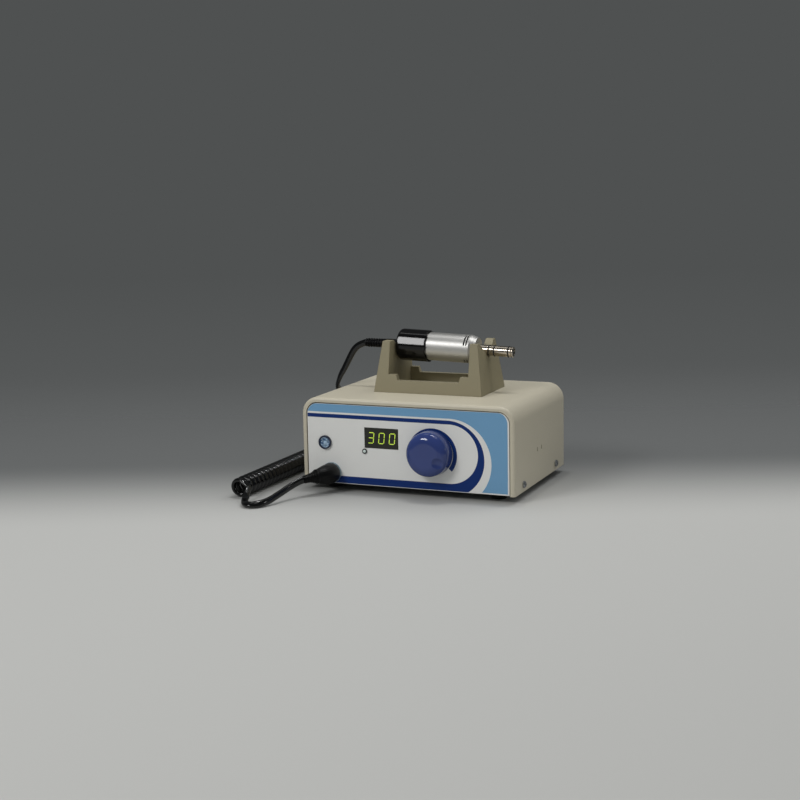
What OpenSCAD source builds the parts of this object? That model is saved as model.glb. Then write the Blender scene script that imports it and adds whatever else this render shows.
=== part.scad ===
// Micromotor polisher: a bench control unit with a cradle on its top, a motor handpiece lying in the
// cradle, and the flat twin cord between them, curly where it lies on the bench.
// Millimetres. The origin is on the bench under the middle of the cabinet, +X is to the right,
// +Y to the back and +Z up. Heights on the panels are measured from the cabinet's lower edge.

/* [Cabinet] */
// Width of the cabinet across the cover
body_w = 185; // [180:1:205]
// Depth of the cabinet from front rim to rear rim
body_d = 133; // [131:1:150]
// Height of the cover's top above the bench
body_top = 77.5; // [76:0.5:90]
// Height of the feet under the cabinet
foot_h = 6; // [5:0.5:8]
// Radius of a foot where it meets the cabinet
foot_r = 7; // [6:0.5:9]
// Distance of a foot's axis from the cabinet's sides
foot_inset = 20; // [14:1:24]
// Radius of the cover's two long top corners
corner_r = 13.8; // [11:0.2:16]
// Rounding of the cover's front and rear edges
edge_r = 2.5; // [1:0.25:3]
// Thickness of the cover's rim around each panel
rim_t = 4; // [3.5:0.25:5]
// Thickness of the cover's walls
wall_t = 2.2; // [1.8:0.1:3]
// Thickness of the chassis sheet
sheet_t = 1.2; // [1:0.1:2]
// Height of the chassis flanges
flange_h = 14; // [12:0.5:16]
// Height of the cover screws above the cabinet's lower edge
cover_screw_z = 6; // [5:0.5:7]
// Distance of the front cover screw from the front rim
cover_screw_front = 21; // [16:1:30]
// Distance of the rear cover screw from the front rim
cover_screw_rear = 107; // [90:1:112]
// Width of a side slot
slot_w = 1.9; // [1:0.1:2.4]
// Height of a side slot
slot_h = 3.5; // [2:0.25:5]
// Distance between the two side slots
slot_pitch = 11; // [6:0.5:16]
// Height of the side slots above the cabinet's lower edge
slot_z = 27.7; // [24:0.5:40]
// Place of the side slots behind the cabinet's middle
slot_y = -4; // [-12:0.5:12]

/* [Panels] */
// Thickness of the front and rear panels
panel_t = 3; // [2.5:0.25:4]
// Depth of the panels behind the cover's edge
panel_recess = 0.7; // [0.4:0.1:1.5]
// Gap between the front panel and the cover's rim
panel_gap = 0.8; // [0.4:0.1:0.9]
// Thickness of the printed overlay
overlay_t = 0.3; // [0.2:0.05:0.5]
// Width of the display window
display_w = 29.7; // [26:0.1:34]
// Height of the display window
display_h = 16.8; // [14:0.1:19]
// Distance of the display window's middle from the knob's axis
display_pitch = 43.3; // [40:0.1:49]
// Height of the display window's middle
display_z = 40.4; // [38:0.2:44]
// Depth of the display module behind its window
module_l = 8; // [6:0.5:10]
// Radius of the round indicator
lamp_r = 1.5; // [1:0.1:1.5]
// Distance of the indicator's middle below the display window
lamp_drop = 2.9; // [2.9:0.1:6]
// Radius of the foot-control socket's flange
pedal_r = 5.6; // [5.4:0.1:7]
// Radius of the foot-control socket's bore
pedal_bore_r = 4.5; // [3.6:0.1:4.5]
// Distance of the foot-control socket from the cabinet's left side
pedal_inset = 20.7; // [17:0.1:26]
// Height of the foot-control socket
pedal_z = 34.6; // [33:0.2:40]
// Radius of the motor socket's flange
socket_r = 8.6; // [8.2:0.1:9]
// Radius of the motor plug's barrel
plug_r = 6; // [5:0.1:6.4]
// Distance of the motor socket from the cabinet's left side
socket_inset = 26; // [23:0.5:32]
// Height of the motor socket
socket_z = 9.4; // [9.2:0.2:14]

/* [Speed knob] */
// Distance of the knob's axis from the cabinet's right side
knob_inset = 70.7; // [63:0.1:72]
// Height of the knob's axis
knob_z = 31.3; // [28:0.1:38]
// Radius of the knob at the panel
knob_r = 18.7; // [18:0.1:20]
// Radius of the knob where its front starts to round
knob_top_r = 18; // [16:0.1:18]
// Height of the knob in front of the panel
knob_h = 14; // [12.5:0.5:17]
// Radius of the potentiometer's shaft
pot_shaft_r = 3; // [2.5:0.1:3.2]
// Direction of the finger dimple, from the right, at the full speed end
dimple_angle = -28; // [-60:1:-20]

/* [Rear panel] */
// Distance of the mains inlet from the cabinet's right side
inlet_inset = 42.5; // [37:0.5:48]
// Height of the mains inlet
inlet_z = 34; // [31:0.5:40]
// Distance of the power switch from the mains inlet
switch_pitch = 42; // [39:0.5:48]
// Height of the power switch
switch_z = 36; // [30:0.5:44]
// Angle between the rocker's two rest places
rocker_throw = 14; // [8:1:16]

/* [Cradle] */
// Width of the cradle's foot
cradle_w = 95.7; // [92:0.1:100]
// Depth of the cradle's foot
cradle_d = 57.3; // [54:0.1:62]
// Height of the cradle's prongs above the cover
cradle_h = 42; // [40:0.5:46]
// Lean of each end wall's outer face over the cradle's height
cradle_lean = 5.7; // [3:0.1:7]
// Lean of the front and rear faces over the cradle's height
cradle_draft = 7.2; // [5:0.1:8]
// Distance between the end walls' inner faces
cradle_span = 70.8; // [68:0.1:74]
// Height of the front and rear rails
rail_h = 10.2; // [8:0.2:12]
// Thickness of the rails at the pocket between them
rail_t = 6.5; // [5:0.25:9]
// Height of the steps beside the end walls
step_h = 15; // [13:0.25:18]
// Length of each step along its rail
step_l = 7; // [5:0.25:10]
// Thickness of the cradle's floor
cradle_floor = 3; // [2.5:0.25:5]
// Place of the cradle's middle across the cover
cradle_x = 3; // [0:0.5:6]
// Place of the cradle's middle behind the cabinet's middle
cradle_y = 2.2; // [-2:0.2:5]
// Half the opening angle of the notches
notch_angle = 52; // [48:1:54]

/* [Handpiece] */
// Height of the motor's middle above the cover
motor_h = 36; // [34:0.25:38]
// Tilt of the motor in its cradle, nose down
motor_tilt = 2; // [0:0.25:3]
// Radius of the motor body
motor_r = 11.8; // [11:0.1:12.5]
// Wall of the motor body
motor_wall = 1.6; // [1.2:0.1:1.8]
// Radius of the rear cap over its ridges
cap_r = 13.3; // [12.6:0.1:14]
// Length of the rear cap
cap_l = 27.5; // [26:0.5:30]
// Depth of the flats between the cap's ridges
flat_depth = 0.35; // [0.3:0.05:0.8]
// Number of flats round the cap
flats = 8; // [6:1:10]
// Turn of the flats about the motor's axis
flat_turn = 22.5; // [0:0.5:45]
// Length of the nose cone in front of the motor body
cone_l = 5.2; // [4.6:0.1:7]
// Radius of the coupling nose
nose_r = 4.4; // [4:0.1:4.8]
// Length of the coupling nose in front of the cone
nose_l = 31; // [30.5:0.5:38]
// Radius of the coupling nose's bore
nose_bore_r = 2.8; // [2.6:0.1:3]
// Radius of the strain relief at the cap
relief_r = 3.9; // [3.6:0.1:4.4]
// Radius of the strain relief at its end
relief_end_r = 3.3; // [3.2:0.1:3.6]
// Length of the strain relief behind the cap
relief_l = 32; // [26:0.5:32]
// Droop of the strain relief behind the cap
relief_droop = 1.5; // [0:0.25:5]
// Radius of the rotor's shaft
shaft_r = 1.5; // [1.2:0.1:1.8]
// Radius of the armature
armature_r = 7.2; // [6.5:0.1:7.4]

/* [Cord] */
// Width of the flat twin cord
cord_w = 5.8; // [5:0.1:6.3]
// Thickness of the flat twin cord
cord_t = 3.4; // [2.6:0.1:3.4]
// Distance between two curls
curl_pitch = 6.8; // [6.7:0.05:7.2]
// Radius of a curl at the middle of the cord
curl_r = 6.5; // [5.5:0.1:6.6]
// Number of full curls on the bench
curls = 20; // [16:1:22]

/* [Fits] */
// Clearance between pieces that only lie beside each other
seat_gap = 0.3; // [0.2:0.05:0.4]
// Clearance round a screw in its hole
screw_gap = 0.1; // [0.05:0.05:0.2]
// Clearance of a pressed or threaded piece in its seat
press_gap = 0.03; // [0.02:0.01:0.05]
// Running clearance round a shaft
run_gap = 0.03; // [0.02:0.01:0.06]
// Radius of the machine screws
screw_r = 1.5; // [1.25:0.05:1.5]
// Radius of the screws' pan heads
head_r = 2.9; // [2.6:0.1:3]
// Height of the screws' pan heads
head_h = 1.9; // [1.5:0.1:2.2]

/* [Hidden] */
$fn = 64;

// Overshoot of a cut past the face it opens
over = 1;
front_y = -body_d / 2;
rear_y = body_d / 2;
rim_l = panel_recess + panel_t;
panel_y = front_y + panel_recess;
panel_back = front_y + rim_l;
overlay_y = panel_y - overlay_t;
rear_face = rear_y - panel_recess;
rear_inner = rear_y - rim_l;
deck_z = foot_h + sheet_t;
open_w = body_w - 2 * rim_t;
open_top = body_top - rim_t;
open_r = corner_r - rim_t;
side_in = body_w / 2 - wall_t - seat_gap;
chassis_end = body_d / 2 - rim_l - seat_gap;
hole_r = screw_r + screw_gap;
tapped_r = screw_r + press_gap;

// Places of the fittings across the panels
pedal_x = pedal_inset - body_w / 2;
socket_x = socket_inset - body_w / 2;
knob_x = body_w / 2 - knob_inset;
display_x = knob_x - display_pitch;
inlet_x = body_w / 2 - inlet_inset;
switch_x = inlet_x - switch_pitch;

// Pan heads, and how far a screw stands out of the sheet it is tapped into
head_crown = 0.9;
recess_w = 0.8;
recess_l = 3.4;
recess_d = 1.1;
screw_stick = 2;

// Screws that hold the panels to the chassis flanges, and the feet
panel_screw_left = 56.5;
panel_screw_right = 22.5;
panel_screw_xs = [panel_screw_left - body_w / 2, body_w / 2 - panel_screw_right];
panel_screw_z = 9;
panel_bite = 2;
panel_screw_l = sheet_t + panel_bite;
foot_xs = [-1, 1] * (body_w / 2 - foot_inset);
foot_ys = [-1, 1] * (body_d / 2 - foot_inset);
foot_taper = 1;
foot_head_web = 2.6;

// Cover screws
cover_screw_ys = [front_y + cover_screw_front, front_y + cover_screw_rear];
cover_screw_l = wall_t + seat_gap + sheet_t + screw_stick;

// Window flange, display board and indicator
window_flange = 1;
window_flange_t = 1;
window_proud = 0.2;
board_t = 1.6;
window_back = panel_back + window_flange_t;
display_board_y = window_back + module_l;
lamp_x = display_x - display_w / 2;
lamp_z = display_z - display_h / 2 - lamp_drop;
display_board_skirt = 4;
display_board_margin = 6;
display_board_low = lamp_z - display_board_skirt;
lamp_rim = 0.6;
lamp_flange_r = lamp_r + lamp_rim;
lamp_flange_t = 0.8;

// Foot-control socket
pedal_flange_t = 1.8;
pedal_wall = 0.5;
pedal_barrel_r = pedal_bore_r + pedal_wall;
pedal_l = 12;
pedal_set_back = 1;
pedal_pin_r = 0.6;
pedal_pins = 3;
pedal_pin_sink = 0.4;
pedal_pin_circle = 2.5;
nut_t = 2.4;
nut_rim = 1.8;

// Motor socket and plug
socket_flange_t = 2;
socket_wall = 0.9;
socket_barrel_r = plug_r + socket_wall;
socket_l = 14;
plug_l = 9;
plug_collar_step = 0.2;
plug_collar_r = socket_r - plug_collar_step;
plug_collar_t = 2;
socket_front = overlay_y - socket_flange_t;
plug_front = socket_front - seat_gap - plug_collar_t;

// Boot of the motor plug: centre points from its base, and the radius at each
boot_path = [
    [0, 0, 0], [0, -3, 0], [-0.6, -6.5, 0], [-2, -10, 0], [-4, -13.2, 0], [-6.2, -16.2, -0.2],
    [-8.4, -19, -0.5], [-10.4, -21.6, -0.8], [-12, -24, -1.2]
];
boot_taper = [1, 1, 0.98, 0.9, 0.75, 0.54, 0.42, 0.38, 0.36];
boot_sides = 16;
boot_base = [socket_x, plug_front, foot_h + socket_z];
boot_end = boot_base + boot_path[8];
boot_way = unit(boot_path[8] - boot_path[7]);

// Potentiometer and knob
bushing_r = 4.4;
bushing_l = 6;
pot_r = 12;
pot_l = 10;
pot_nut_t = 2.4;
pot_nut_r = 7;
knob_gap = 0.6;
knob_base = overlay_y - knob_gap;
knob_fillet = 7.5;
knob_recess_r = 9;
knob_room = 1;
knob_recess = bushing_l + knob_room;
knob_roof = 3;
dimple_r = 6;
dimple_depth = 2;
dimple_reach = 12;
pot_depth = 6;
lug = [1.6, 0.8, 10];
lug_pitch = 5;

// Inlet, its drawer and the switch
inlet_body = [27, 24, 30];
inlet_flange = [50, 2.2, 33];
inlet_hole_x = 20;
inlet_cavity = [24.2, 16.4];
inlet_cavity_bevel = 4;
inlet_cavity_l = 17;
inlet_cavity_z = 5;
blade = [2, 14, 4];
blade_pitch = 7;
tab_l = 4;
blade_drop = 2;
earth_rise = 3;
drawer = [17.4, 21, 6.8];
drawer_z = -10.4;
drawer_face = [20, 1.3, 8];
drawer_gap = 0.25;
drawer_web = 1;
drawer_notch = [8, 1.4, 2.4];
fuse_r = 2.6;
fuse_glass_r = 2.35;
fuse_l = 19;
fuse_cap_l = 5;
switch_bezel = [21, 1.6, 15];
switch_shell = [19, 17, 12.8];
switch_well = [15.6, 6.5, 10.8];
rocker = [15, 9.2];
rocker_rise = 1.6;
rocker_dip = 0.6;
rocker_depth = 2.6;
trunnion_r = 1.2;
trunnion_l = 0.9;
pivot_sink = 2;
pivot_y = rear_face + switch_bezel[1] - pivot_sink;

// Main board and what stands on it
board_front_gap = 3.5;
board_sink_gap = 11;
board_side_gap = 12;
board_core_gap = 14.3;
standoff_h = 8;
standoff_r = 3;
stud_stick = 1;
board_inset = 5;
board_z = deck_z + standoff_h;
inner_screw_l = 6;
capacitor_r = 8;
capacitor_h = 25;
capacitor_pitch = 19;
capacitor_x = 20;
rectifier_size = [16, 5, 14];
rectifier_x = -10;
rectifier_y = 12;

// Transformer
core = [57, 24, 47.5];
core_leg = 19;
core_window = [9.5, 28.5];
core_side_gap = 3.3;
core_y = 4;
coil_overhang = 9;
coil_r = 4.5;
bracket_t = 1.2;
bracket_w = 17;
bracket_foot = 11;
core_x = side_in - core_side_gap - bracket_foot - bracket_t - core[0] / 2;
board_w = core_x - core[0] / 2 - bracket_t - board_core_gap + side_in - board_side_gap;
board_x = board_side_gap - side_in + board_w / 2;

// Heat sink and its transistor, between the left feet and the switch and left of their middle
sink = [44, 12, 34];
sink_base = 4;
sink_fins = 8;
sink_fin_t = 1.6;
sink_shift = 2;
sink_rear_gap = 4.8;
sink_x = (foot_xs[0] + switch_x - switch_shell[0] / 2) / 2 - sink_shift;
sink_y = rear_inner - sink_rear_gap - sink[1];
transistor = [10, 4.5, 15];
transistor_lift = 12;

// The board lies between the front feet and the sink
board_front = foot_ys[0] + board_front_gap;
board_d = sink_y - board_sink_gap - board_front;
board_y = board_front + board_d / 2;

// Notches, in the motor's own frame
motor_z = body_top + motor_h;
wall_in = cradle_span / 2;
end_gap = 0.5;
step_ramp = 1.4;
cradle_screw_l = 10;
blind_spare = 1;
cradle_screw_in = 5;
cradle_screw_x = wall_in + cradle_screw_in;
cradle_screw_y = 14;
pocket_half = cradle_d / 2 - rail_t;

// Handpiece, along X from the middle of the cradle
cap_x = end_gap - wall_in;
cap_front = cap_x + cap_l;
cone_front = wall_in - end_gap;
cone_back = cone_front - cone_l;
cap_step = 0.6;
cap_fillet = 3.2;
cap_wall = 2;
scallop_r = 8;
scallop_depth = 1.3;
sleeve_r = motor_r - cap_step;
sleeve_back = 9.5;
sleeve_x = cap_x + sleeve_back;
bore_r = motor_r - motor_wall;
vent_w = 1.1;
vent_pitch = 2.2;
vent_arc = 55;
vent_groups = 3;
vent_rise = 20;
vent_edge = 1.9;
vent_x = cone_back - vent_edge;
cone_taper = 2;
spigot_l = 11;
spigot_seat = 5;
spigot_relief = 1.3;
bearing_r = 4;
bearing_l = 3.5;
bearing_bore_r = shaft_r + run_gap;
shaft_room = 0.7;
shaft_hole_r = shaft_r + shaft_room;
nose_root = 5;
ring_r = 0.55;
ring_groove = 0.75;
first_ring_l = 10;
second_ring_l = 14.7;
third_ring_l = 26.9;
ring_xs = [first_ring_l, second_ring_l, third_ring_l];
tip_groove = 1;
tip_lip = 0.9;
nose_chamfer = 0.5;
relief_collar = 11;
relief_ribs = 9;
relief_rib = 1.3;
relief_stem = 2.4;
relief_stem_step = 0.7;
relief_stem_r = relief_end_r - relief_stem_step;
relief_neck = 1.6;
plate_in = 0.6;
plate_x = sleeve_x + plate_in;
plate_t = 2.5;
hub_r = 5.4;
hub_l = 4.2;
brush = 3;
brush_box = 5;
brush_box_l = 6.8;
brush_reach = 9.2;
brush_rub = 0.3;
commutator_r = 3.2;
commutator_l = 5.4;
rotor_gap = 1;
commutator_x = plate_x + plate_t + rotor_gap;
magnet_x = plate_x + plate_t + brush_box_l + rotor_gap;
magnet_end = cone_back - spigot_l - rotor_gap;
magnet_gap = 0.6;
magnet_arc = 120;
armature_x = magnet_x + rotor_gap;
armature_end = magnet_end - rotor_gap;
armature_slots = 7;
armature_slot_w = 1.2;
armature_slot_d = 3;
dog_gap = 0.5;
dog_r = nose_bore_r - dog_gap;
dog_l = 7;
dog_slot = 1.2;
dog_slot_d = 2.4;
dog_socket = 3.5;
dog_back = 4;
shaft_end = cone_front + nose_l - dog_back;
shaft_start = plate_x - hub_l;

// Curly stretch of the cord, along +Y on the bench
curl_sides = 6;
curl_rings = 8;
curl_start = 50;
curl_stop = 270;
curl_lift = 0.1;
bench_corner = [-body_w / 2, front_y, 0];
curl_axis = bench_corner + [-34.8, -47.5, curl_r + cord_t / 2 + curl_lift];
curl_turns = curls + (curl_stop - curl_start) / 360;
curl_count = ceil(curl_turns * curl_rings);
cord_sides = 8;
cord_steps = 2;
curl_in = curl_point(0) - cord_w * curl_way(0);
curl_out = curl_point(1) + cord_w * curl_way(1);

// Route of the cord from the plug's boot to the first curl, from the bench under the cabinet's
// front left corner
plug_steps = [
    [11.5, -31.9, 13.3], [8.9, -37, 11.6], [6.5, -43, 9.6], [4.5, -49.5, 7.6], [2.7, -56.5, 5.8],
    [0.9, -63.5, 4.2], [-1.5, -70, 3.4], [-4.7, -74.7, 3.1], [-8.9, -76.9, 3], [-13.3, -75.7, 3],
    [-16.7, -71.9, 3], [-19.3, -66.9, 3.2], [-21.5, -61.5, 4], [-23.7, -55.1, 6]
];
plug_route = [for (p = plug_steps) bench_corner + p];
// Route of the cord from the last curl up the cabinet's left side, from the same corner
side_steps = [
    [-24, 94.7, 1.9], [-19, 96.1, 2.6], [-14.5, 97.5, 4.6], [-11, 98.7, 8], [-8.5, 99.5, 12.8],
    [-6.8, 99.9, 19], [-5.5, 99.5, 27], [-4.7, 98.5, 36], [-4.1, 96.5, 45.5], [-3.7, 93.3, 54.5],
    [-3.4, 88.9, 62.4], [-3.1, 83.1, 68.2], [-2.7, 77.5, 72.4], [-1.7, 73.1, 76.4]
];
// and on to the handpiece, from the motor's middle
motor_middle = [cradle_x, cradle_y, motor_z];
motor_steps = [
    [-94.5, 1.7, -32.3], [-91.6, 0.8, -27], [-88.3, 0.3, -22], [-84.5, 0.1, -15.3],
    [-80.8, 0, -8.8], [-77.7, 0, -4.4], [-73.6, 0, -1.1]
];
motor_route = concat([for (p = side_steps) bench_corner + p], [for (p = motor_steps) motor_middle + p]);
relief_fall = relief_droop - motor_tilt;
relief_way = [-cos(relief_fall), 0, -sin(relief_fall)];
relief_root = [cradle_x + cap_x * cos(motor_tilt), cradle_y, motor_z - cap_x * sin(motor_tilt)];
motor_cord_end = relief_root + (relief_l + seat_gap) * relief_way;

// Vectors, curves and swept tubes

function unit(v) = v / norm(v);
function square_to(v, t) = unit(v - (v * t) * t);
function ease(u) = u * u * (3 - 2 * u);

// Point on a smooth curve through the listed points, between point i and the next
function curve_point(p, i, u) =
    let (a = p[max(i - 1, 0)], b = p[i], c = p[i + 1], d = p[min(i + 2, len(p) - 1)])
    0.5 * (2 * b + (c - a) * u + (2 * a - 5 * b + 4 * c - d) * u * u
        + (3 * b - a - 3 * c + d) * u * u * u);
function curve(p, steps) = concat(
    [for (i = [0:len(p) - 2]) for (k = [0:steps - 1]) curve_point(p, i, k / steps)],
    [p[len(p) - 1]]);

// Way along a row of centres, with set ways at both ends
function ways(c, first, last) = [for (i = [0:len(c) - 1])
    i == 0 ? first : i == len(c) - 1 ? last : unit(c[i + 1] - c[i - 1])];

// One ring of a tube: w is the side the wide axis points to
function ring(c, t, w, wide, thick, sides) =
    let (b = square_to(w, t), n = cross(t, b))
    [for (k = [0:sides - 1])
        c + wide / 2 * cos(360 * k / sides) * b + thick / 2 * sin(360 * k / sides) * n];

function tube_faces(rings, sides) = concat(
    [for (i = [0:rings - 2]) for (k = [0:sides - 1]) for (half = [0, 1])
        let (a = i * sides + k, b = i * sides + (k + 1) % sides)
        half == 0 ? [a, b + sides, b] : [a, a + sides, b + sides]],
    [for (k = [1:sides - 2]) [0, k, k + 1]],
    [for (k = [1:sides - 2]) let (e = (rings - 1) * sides) [e, e + k + 1, e + k]]);

module tube(rings) {
    sides = len(rings[0]);
    polyhedron([for (r = rings) for (p = r) p], tube_faces(len(rings), sides), convexity = 10);
}

// Flat cord through the points c, with its wide axis turning from w0 to w1
module flat_cord(c, first, last, w0, w1) {
    t = ways(c, first, last);
    n = len(c) - 1;
    tube([for (i = [0:n])
        ring(c[i], t[i], w0 + ease(i / n) * (w1 - w0), cord_w, cord_t, cord_sides)]);
}

// Place and way along the curls, u from 0 to 1
function curl_angle(u) = curl_start + 360 * curl_turns * u;
function curl_point(u) = curl_axis + [
    curl_r * cos(curl_angle(u)), curl_pitch * curl_turns * u, curl_r * sin(curl_angle(u))];
function curl_way(u) = unit([
    -2 * PI * curl_r * sin(curl_angle(u)), curl_pitch, 2 * PI * curl_r * cos(curl_angle(u))]);
function curl_ring(c, t) = ring(c, t, [0, 1, 0], cord_w, cord_t, curl_sides);
curl_tube = concat(
    [curl_ring(curl_in, curl_way(0))],
    [for (i = [0:curl_count]) curl_ring(curl_point(i / curl_count), curl_way(i / curl_count))],
    [curl_ring(curl_out, curl_way(1))]);
// Least distance between one curl and the next, measured on the tube's points
curl_gap = min([for (i = [1:curl_count - curl_rings]) for (j = [curl_rings - 1:curl_rings + 1])
    for (a = curl_tube[i]) for (b = curl_tube[min(i + j, curl_count + 1)]) norm(a - b)]);
echo(curl_gap = curl_gap);

// Building shapes

// Extrudes an outline of X and Z along Y
module along_y(y, l) translate([0, y + l, 0]) rotate([90, 0, 0]) linear_extrude(l) children();
// Extrudes an outline of Y and Z along X
module along_x(x, l) translate([x, 0, 0]) rotate([90, 0, 90]) linear_extrude(l) children();
module rod_y(y, l, r) translate([0, y, 0]) rotate([-90, 0, 0]) cylinder(h = l, r = r);
module rod_x(x, l, r) translate([x, 0, 0]) rotate([0, 90, 0]) cylinder(h = l, r = r);
// Block centred in X and Z that starts at y
module block_y(y, size) translate([-size[0] / 2, y, -size[2] / 2]) cube(size);
// Turns an outline of radius and place round the X axis
module turned_x() rotate([0, 90, 0]) rotate_extrude() children();
module on_front(x, z) translate([x, 0, foot_h + z]) children();
module on_motor() translate(motor_middle) rotate([0, motor_tilt, 0]) children();

// Upright outline with two round top corners
module arch(w, low, high, r) {
    translate([-w / 2, low]) square([w, high - r - low]);
    translate([r - w / 2, low]) square([w - 2 * r, high - low]);
    for (s = [-1, 1]) translate([s * (w / 2 - r), high - r]) circle(r);
}

// Outline of both panels, less a margin
module panel_outline(margin) arch(open_w - 2 * margin, foot_h + margin, open_top - margin,
    open_r - margin);

// Pan head screw with a cross recess, head up, seat at z = 0
module pan_screw(l) {
    difference() {
        union() {
            translate([0, 0, -l]) cylinder(h = l + head_h / 2, r = screw_r);
            cylinder(h = head_h - head_crown, r = head_r);
            translate([0, 0, head_h - head_crown])
                cylinder(h = head_crown, r1 = head_r, r2 = head_r - head_crown);
        }
        for (turn = [0, 90]) rotate(turn)
            translate([-recess_l / 2, -recess_w / 2, head_h - recess_d])
                cube([recess_l, recess_w, head_h]);
    }
}

// Cabinet

module base_chassis() {
    color("#6d7072") difference() {
        union() {
            translate([-side_in, -chassis_end, foot_h]) cube([2 * side_in, 2 * chassis_end, sheet_t]);
            for (s = [-1, 1]) translate([s * (side_in - sheet_t / 2) - sheet_t / 2, -chassis_end, foot_h])
                cube([sheet_t, 2 * chassis_end, flange_h]);
            for (s = [-1, 1]) translate([-open_w / 2, s * (chassis_end - sheet_t / 2) - sheet_t / 2, foot_h])
                cube([open_w, sheet_t, flange_h]);
        }
        // room for the motor socket's barrel and nut in the front flange
        on_front(socket_x, socket_z) block_y(-chassis_end - over,
            [2 * (socket_barrel_r + nut_rim + over), sheet_t + 2 * over, 3 * flange_h]);
        for (s = [-1, 1], y = cover_screw_ys) translate([0, y, foot_h + cover_screw_z])
            rod_x(s * side_in - sheet_t - over, 2 * (sheet_t + over), tapped_r);
        for (s = [-1, 1], x = panel_screw_xs) on_front(x, panel_screw_z)
            rod_y(s * chassis_end - sheet_t - over, 2 * (sheet_t + over), hole_r);
        for (x = foot_xs, y = foot_ys) translate([x, y, foot_h - over])
            cylinder(h = sheet_t + 2 * over, r = tapped_r);
        at_standoffs() translate([0, 0, foot_h - over]) cylinder(h = sheet_t + 2 * over, r = tapped_r);
        at_bracket_screws() translate([0, 0, foot_h - over])
            cylinder(h = sheet_t + 2 * over, r = tapped_r);
    }
}

// Section of the cover's wall: distance in from the outer skin, and place along Y
module cover_section() {
    translate([0, edge_r - body_d / 2]) square([wall_t, body_d - 2 * edge_r]);
    for (s = [0, 1]) mirror([0, s]) {
        translate([0, edge_r - body_d / 2]) square([rim_t, rim_l - edge_r]);
        translate([edge_r, -body_d / 2]) square([rim_t - edge_r, rim_l]);
        translate([edge_r, edge_r - body_d / 2]) intersection() {
            circle(edge_r);
            translate([-edge_r, -edge_r]) square(edge_r + over);
        }
    }
}

module top_cover() {
    side_h = body_top - corner_r - foot_h;
    color("#c9c1ab") difference() {
        union() {
            along_x(corner_r - body_w / 2, body_w - 2 * corner_r)
                translate([0, body_top]) rotate(-90) cover_section();
            for (s = [0, 1]) mirror([s, 0, 0]) {
                translate([body_w / 2, 0, foot_h]) linear_extrude(side_h)
                    mirror([1, 0]) cover_section();
                translate([body_w / 2 - corner_r, 0, body_top - corner_r]) rotate([90, 0, 0])
                    rotate_extrude(angle = 90) translate([corner_r, 0]) mirror([1, 0]) cover_section();
            }
        }
        for (s = [-1, 1], y = cover_screw_ys) translate([0, y, foot_h + cover_screw_z])
            rod_x(s * body_w / 2 - rim_t, 2 * rim_t, hole_r);
        for (s = [-0.5, 0.5])
            translate([body_w / 2 - wall_t / 2, slot_y + s * slot_pitch, foot_h + slot_z])
                cube([wall_t + 2 * over, slot_w, slot_h], center = true);
        at_cradle_screws() translate([0, 0, body_top - wall_t - over])
            cylinder(h = wall_t + 2 * over, r = hole_r);
    }
}

module cover_screws() {
    color("#b9bcbd") for (s = [0, 1], y = cover_screw_ys) mirror([s, 0, 0])
        translate([body_w / 2, y, foot_h + cover_screw_z]) rotate([0, 90, 0]) pan_screw(cover_screw_l);
}

module rubber_feet() {
    color("#1c1c1d") for (x = foot_xs, y = foot_ys) translate([x, y, 0]) difference() {
        cylinder(h = foot_h, r1 = foot_r - foot_taper, r2 = foot_r);
        translate([0, 0, -over]) cylinder(h = foot_h + 2 * over, r = hole_r);
        translate([0, 0, -over]) cylinder(h = foot_h - foot_head_web + over, r = head_r + 2 * screw_gap);
    }
}

module foot_screws() {
    color("#a9acae") for (x = foot_xs, y = foot_ys) translate([x, y, foot_h - foot_head_web])
        mirror([0, 0, 1]) pan_screw(foot_head_web + sheet_t + screw_stick);
}

// Panels

module front_panel() {
    color("#c9c1ab") difference() {
        along_y(panel_y, panel_t) panel_outline(panel_gap);
        on_front(display_x, display_z) block_y(panel_y - over,
            [display_w + 2 * screw_gap, panel_t + 2 * over, display_h + 2 * screw_gap]);
        on_front(lamp_x, lamp_z) rod_y(panel_y - over, panel_t + 2 * over, lamp_r + screw_gap);
        on_front(knob_x, knob_z) rod_y(panel_y - over, panel_t + 2 * over, bushing_r + screw_gap);
        on_front(pedal_x, pedal_z) rod_y(panel_y - over, panel_t + 2 * over, pedal_barrel_r + screw_gap);
        on_front(socket_x, socket_z) rod_y(panel_y - over, panel_t + 2 * over, socket_barrel_r + screw_gap);
        for (x = panel_screw_xs) on_front(x, panel_screw_z)
            rod_y(panel_back - panel_bite, panel_bite + over, tapped_r);
    }
}

module panel_overlay() {
    color("#e9e9e4") difference() {
        along_y(overlay_y, overlay_t) panel_outline(panel_gap);
        on_front(display_x, display_z) block_y(overlay_y - over,
            [display_w + 2 * screw_gap, overlay_t + 2 * over, display_h + 2 * screw_gap]);
        on_front(lamp_x, lamp_z) rod_y(overlay_y - over, overlay_t + 2 * over, lamp_r + screw_gap);
        on_front(knob_x, knob_z) rod_y(overlay_y - over, overlay_t + 2 * over, bushing_r + screw_gap);
        on_front(pedal_x, pedal_z)
            rod_y(overlay_y - over, overlay_t + 2 * over, pedal_barrel_r + screw_gap);
        on_front(socket_x, socket_z)
            rod_y(overlay_y - over, overlay_t + 2 * over, socket_barrel_r + screw_gap);
    }
}

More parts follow.
